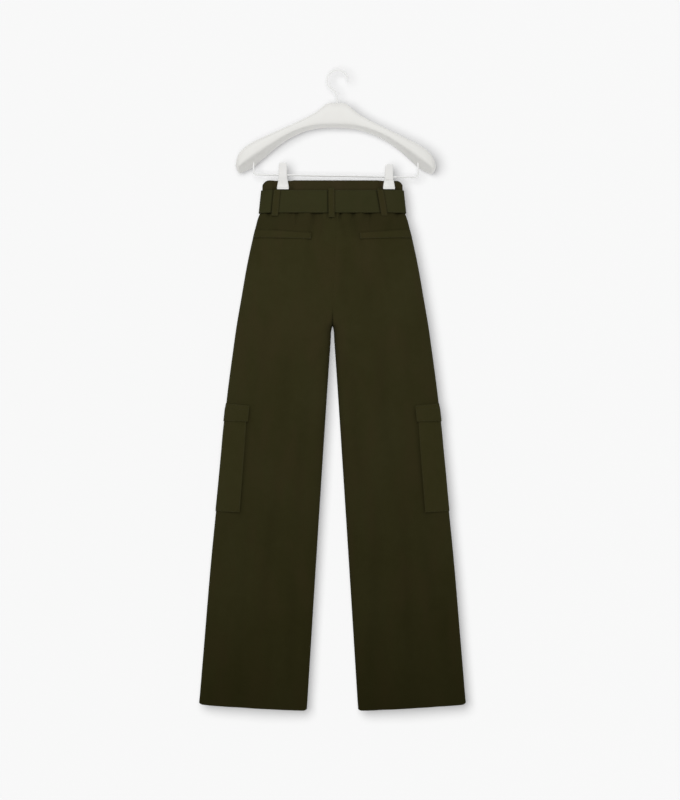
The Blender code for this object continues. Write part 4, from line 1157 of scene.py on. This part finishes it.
edge = insets("band")[0]
for name, shape in waistband["pieces"].items():
    end = stitching["bandEnd"][shape[0]]
    sewPiece(name, bandSurface(*shape), [(end, edge, 1 - end, edge)])
edge, end = insets("belt")[0], stitching["beltEnd"]
sewPiece("belt", beltSurface, [
    (end, edge, 1 - end, edge), (end, 1 - edge, 1 - end, 1 - edge), (end, edge, end, 1 - edge)])
for name, shape in loops["pieces"].items():
    sewPiece(name, loopSurface(*shape), stitching["loopRows"])
for side, name in welts["sides"]:
    sewPiece(name, weltSurface(side), stitching["weltRows"][side])
for side, sideName in pockets["sides"]:
    across, down = insets("bag")
    sewPiece("cargo_bag_" + sideName, bagSurface(side), sidesAndBottom(across, stitching["bagTop"], down))
    across, down = insets("flap")
    second = stitching["flapSecond"] * down
    sewPiece("cargo_flap_" + sideName, flapSurface(side), sidesAndBottom(across, down, down) + [
        (across, down, 1 - across, down), (across, second, 1 - across, second)])
sewPiece("fly_placket", flySurface, stitching["flyRows"])
print("stitching sewn")


# hanger
hanger = {
    "tilt": math.radians(1.0), "wire": 0.002, "wireShown": 0.0017,
    "barHeight": -0.224, "barHalf": 0.175, "barBend": 0.008,
    "socket": 0.008, "socketGap": 0.0009, "underside": -0.198, "hookRadius": 0.022,
    "roundTop": 0.62, "roundBottom": 0.36, "endRound": 0.006, "endCrowd": 1.15,
    "hookEnds": (math.radians(-6), math.radians(205)),
    "hookStem": [(-0.0170, -0.0330), (-0.0085, -0.0405), (-0.0022, -0.0490), (0.0, -0.0590)],
    "steps": (150, 40),
    # how much higher the right arm's underside is: from, to, ridge, heel
    "rightArm": (0.06, 0.16, 0.0030, 0.0060),
    # along, top, ridge, heel, depth
    "arm": [
        (0.0, -0.07, -0.116, -0.1215, 0.026), (0.018, -0.07, -0.1162, -0.1217, 0.026),
        (0.028, -0.0762, -0.1168, -0.1222, 0.027), (0.04, -0.0868, -0.1182, -0.1235, 0.028),
        (0.064, -0.102, -0.124, -0.1285, 0.031), (0.085, -0.1128, -0.132, -0.137, 0.034),
        (0.108, -0.1238, -0.144, -0.15, 0.038), (0.13, -0.134, -0.158, -0.167, 0.041),
        (0.155, -0.1458, -0.1745, -0.1895, 0.044), (0.18, -0.1585, -0.192, -0.211, 0.046),
        (0.196, -0.17, -0.2035, -0.2185, 0.044), (0.206, -0.181, -0.2105, -0.2215, 0.037),
        (0.213, -0.195, -0.211, -0.2165, 0.022)],
}
tilted = Matrix.Rotation(hanger["tilt"], 4, "Y")


def signedPower(value, power):
    return math.copysign(abs(value) ** power, value)


def hangerBody():
    # a grid wrapped into a squared tube, drawn to a rounded end on both arms
    columns, rows = hanger["steps"]
    made = bmesh.new()
    bmesh.ops.create_grid(made, x_segments=columns, y_segments=rows, size=0.5)
    keys, *tables = zip(*hanger["arm"])
    tip, endRound = keys[-1], hanger["endRound"]
    start, end, ridgeRise, heelRise = hanger["rightArm"]
    for vert in made.verts:
        run = 2 * vert.co.x
        station = math.copysign(tip * (1 - (1 - abs(run)) ** hanger["endCrowd"]), run)
        turn = math.tau * (vert.co.y + 0.5)
        top, ridge, heel, depth = (float(curveThrough(keys, values, abs(station))) for values in tables)
        ridge += ridgeRise * ease(start, end, station)
        heel += heelRise * ease(start, end, station)
        closing = math.sqrt(max(0, 1 - max(0, (abs(station) - tip + endRound) / endRound) ** 2))
        rounding = hanger["roundTop"] if math.sin(turn) > 0 else hanger["roundBottom"]
        across, upward = [signedPower(part, rounding) for part in (math.cos(turn), math.sin(turn))]
        bottom = mixed(ridge, heel, (across + 1) / 2)
        half = (top - bottom) / 2
        vert.co = (station, across * depth / 2 * closing, (top + bottom) / 2 + upward * half * closing)
    bmesh.ops.remove_doubles(made, verts=made.verts, dist=0.00002)
    bmesh.ops.recalc_face_normals(made, faces=made.faces)
    bmesh.ops.transform(made, matrix=tilted, verts=made.verts)
    finishPiece("hanger_body_form", made, hangerLacquer, "hanger_body")


def wirePiece(nodeName, points):
    # a round wire on a smooth run of points in the hanger's own plane
    name = nodeName + "_wire"
    curve = bpy.data.curves.new(name, "CURVE")
    curve.dimensions = "3D"
    curve.bevel_depth = hanger["wireShown"]
    curve.bevel_resolution = 6
    curve.use_fill_caps = True
    spline = curve.splines.new("POLY")
    spline.points.add(len(points) - 1)
    for point, (x, z) in zip(spline.points, points):
        point.co = (*(tilted @ Vector((x, 0, z))), 1)
    spline.use_smooth = True
    curve.materials.append(wireCoat)
    dress(addObject(name, curve), nodeName)


def hookPoints():
    radius, wire = hanger["hookRadius"], hanger["wire"]
    angles = np.linspace(*hanger["hookEnds"], 60)
    ring = [(radius * math.cos(angle), wire - radius + radius * math.sin(angle)) for angle in angles]
    socketEnd = (0.0, hanger["arm"][0][1] - hanger["socket"] + hanger["socketGap"])
    stem = np.array([ring[-4], ring[-1], *hanger["hookStem"], socketEnd])
    distance = runLengths(stem)
    steps = np.linspace(distance[1], distance[-1], 40)[1:]
    return ring + list(zip(*(curveThrough(distance, values, steps) for values in stem.T)))


def barPoints():
    half, bend, height = hanger["barHalf"], hanger["barBend"], hanger["barHeight"]
    right = [(half, hanger["underside"] + hanger["socket"] - hanger["socketGap"])]
    for angle in np.linspace(0, math.pi / 2, 14):
        right.append((half - bend * (1 - math.cos(angle)), height + bend * (1 - math.sin(angle))))
    return right + [(-x, z) for x, z in right[::-1]]


hangerBody()
wirePiece("hanger_hook", hookPoints())
wirePiece("hanger_bar", barPoints())
print("hanger made")


# clips and buckle: the frame's own shapes, welded and softened
hardware = {
    "jaw": {"bevel": 0.0013, "segments": 4, "sharp": 28},
    "barrel": {"bevel": 0.0004, "segments": 2, "sharp": 40},
    "buckle": {"bevel": 0.0008, "segments": 3, "sharp": 50},
    # degrees: faces this flat are joined, edges this steep stay sharp
    "flat": 1.5,
    "steep": 35,
}


def softenedCopy(nodeName, kind, material):
    values = hardware[kind]
    made = bmesh.new()
    made.from_mesh(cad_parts[nodeName].data)
    bmesh.ops.remove_doubles(made, verts=made.verts, dist=0.00001)
    flat = math.radians(hardware["flat"])
    bmesh.ops.dissolve_limit(made, angle_limit=flat, verts=made.verts, edges=made.edges)
    paired = [edge for edge in made.edges if len(edge.link_faces) == 2]
    sharp = [edge for edge in paired if edge.calc_face_angle() > math.radians(values["sharp"])]
    bmesh.ops.bevel(made, geom=sharp, offset=values["bevel"], affect="EDGES", segments=values["segments"],
                    profile=0.5, material=-1, clamp_overlap=True)
    piece = finishPiece(nodeName + "_form", made, material, nodeName)
    piece.data.set_sharp_from_angle(angle=math.radians(hardware["steep"]))
    return piece


for sideName in ("left", "right"):
    for part, kind in (("back_jaw", "jaw"), ("front_jaw", "jaw"), ("barrel", "barrel")):
        softenedCopy("clip_" + sideName + "_" + part, kind, clipPlastic)
bucklePiece = softenedCopy("belt_buckle", "buckle", buckleEnamel)
print("clips and buckle made")


# room: pale floor and wall, soft light
room = {
    "pale": 0.9387,
    "floorBounce": 0.80,
    "floor": -1.62,
    "wall": 0.034,
    "size": 9.0,
    # the wall's own lamp: how much of its paleness it gives, from where, how wide
    "shade": 0.58,
    "matt": 0.01,
    "spill": 0.008,
    "shadeFrom": (-0.60, -2.6, -0.30),
    "shadeRadius": 1.0,
    "key": {"place": (-0.20, -1.38, 0.42), "aim": (0, 0, -0.4), "size": 0.7, "power": 9.3, "shines": True},
    "behind": {"place": (0.45, 1.35, 0.42), "aim": (0, 0, -0.5), "size": 0.7, "power": 9.6, "shines": False},
    "sky": 0.45,
}


def evenMatt(tree):
    # paler away from the lamp's foot, so that the bare wall looks the same all over
    x, y, z = room["shadeFrom"]
    foot = (x, room["wall"], z)
    reach = node(tree, "VectorMath", {0: objectPlace(tree), 1: foot}, operation="DISTANCE").outputs["Value"]
    spread = calc(tree, "POWER", calc(tree, "DIVIDE", reach, room["wall"] - y), 2.0)
    return calc(tree, "MULTIPLY", calc(tree, "POWER", calc(tree, "ADD", spread, 1.0), 1.5), room["matt"])


def roomPlane(name, matrix, seen, bounce, lit=False):
    # pale from its lit side and clear from behind, so that the lamps shine through it
    made = bmesh.new()
    bmesh.ops.create_grid(made, x_segments=1, y_segments=1, size=room["size"] / 2)
    bmesh.ops.transform(made, matrix=matrix, verts=made.verts)
    material, tree, _ = emptyMaterial(name)
    path = node(tree, "LightPath").outputs
    strength = node(tree, "Mix", {0: path["Is Camera Ray"], 2: bounce, 3: seen}, data_type="FLOAT").outputs[0]
    glow = node(tree, "Emission", {"Strength": strength}).outputs[0]
    face = node(tree, "BsdfDiffuse", {"Color": evenMatt(tree) if lit else (0, 0, 0, 1)}).outputs[0]
    both = node(tree, "AddShader", {0: glow, 1: face}).outputs[0]
    front = calc(tree, "SUBTRACT", 1.0, node(tree, "NewGeometry").outputs["Backfacing"])
    solid = calc(tree, "MULTIPLY", front, calc(tree, "SUBTRACT", 1.0, path["Is Shadow Ray"]))
    clear = node(tree, "BsdfTransparent").outputs[0]
    choose = node(tree, "MixShader", {0: solid, 1: clear, 2: both}).outputs[0]
    setInputs(tree, tree.nodes["Material Output"], {"Surface": choose})
    material.cycles.emission_sampling = "NONE"
    plane = meshObject(name, made, material)
    return plane


def softLamp(name, values):
    data = bpy.data.lights.new(name, "AREA")
    data.shape = "DISK"
    data.size = values["size"]
    data.energy = values["power"]
    made = addObject(name, data)
    made.location = values["place"]
    made.rotation_euler = (Vector(values["aim"]) - made.location).to_track_quat("-Z", "Y").to_euler()
    made.visible_glossy = values["shines"]


def wallLamp(wall):
    # lights the wall alone, for the soft shadow that the garment throws on it
    away = room["wall"] - room["shadeFrom"][1]
    data = bpy.data.lights.new("wallLamp", "POINT")
    data.shadow_soft_size = room["shadeRadius"]
    data.use_soft_falloff = False
    data.energy = room["shade"] * (2 * math.pi * away) ** 2 / room["matt"]
    made = addObject("wallLamp", data)
    made.location = room["shadeFrom"]
    alone = bpy.data.collections.new("wallAlone")
    alone.objects.link(wall)
    made.light_linking.receiver_collection = alone


def paleSky():
    sky = bpy.data.worlds.new("paleSky")
    sky.use_nodes = True
    tree = sky.node_tree
    seen = node(tree, "LightPath").outputs["Is Camera Ray"]
    strength = calc(tree, "MULTIPLY_ADD", seen, room["pale"] - room["sky"], room["sky"])
    setInputs(tree, tree.nodes["Background"], {"Color": (1, 1, 1, 1), "Strength": strength})
    scene.world = sky


roomPlane("floor", Matrix.Translation((0, 0, room["floor"])), room["pale"], room["floorBounce"])
wallMiddle = (0, room["wall"], room["floor"] + room["size"] / 2)
wallTurn = Matrix.Translation(wallMiddle) @ Matrix.Rotation(math.pi / 2, 4, "X")
wallGlow = room["pale"] - room["shade"] - room["spill"]
wallLamp(roomPlane("wall", wallTurn, wallGlow, wallGlow, lit=True))
softLamp("keyLamp", room["key"])
softLamp("behindLamp", room["behind"])
paleSky()
print("room lit")


# declared cloth
bpy.context.view_layer.update()


for name, piece in pocketPieces.items():
    _, kind, side = name.split("_")
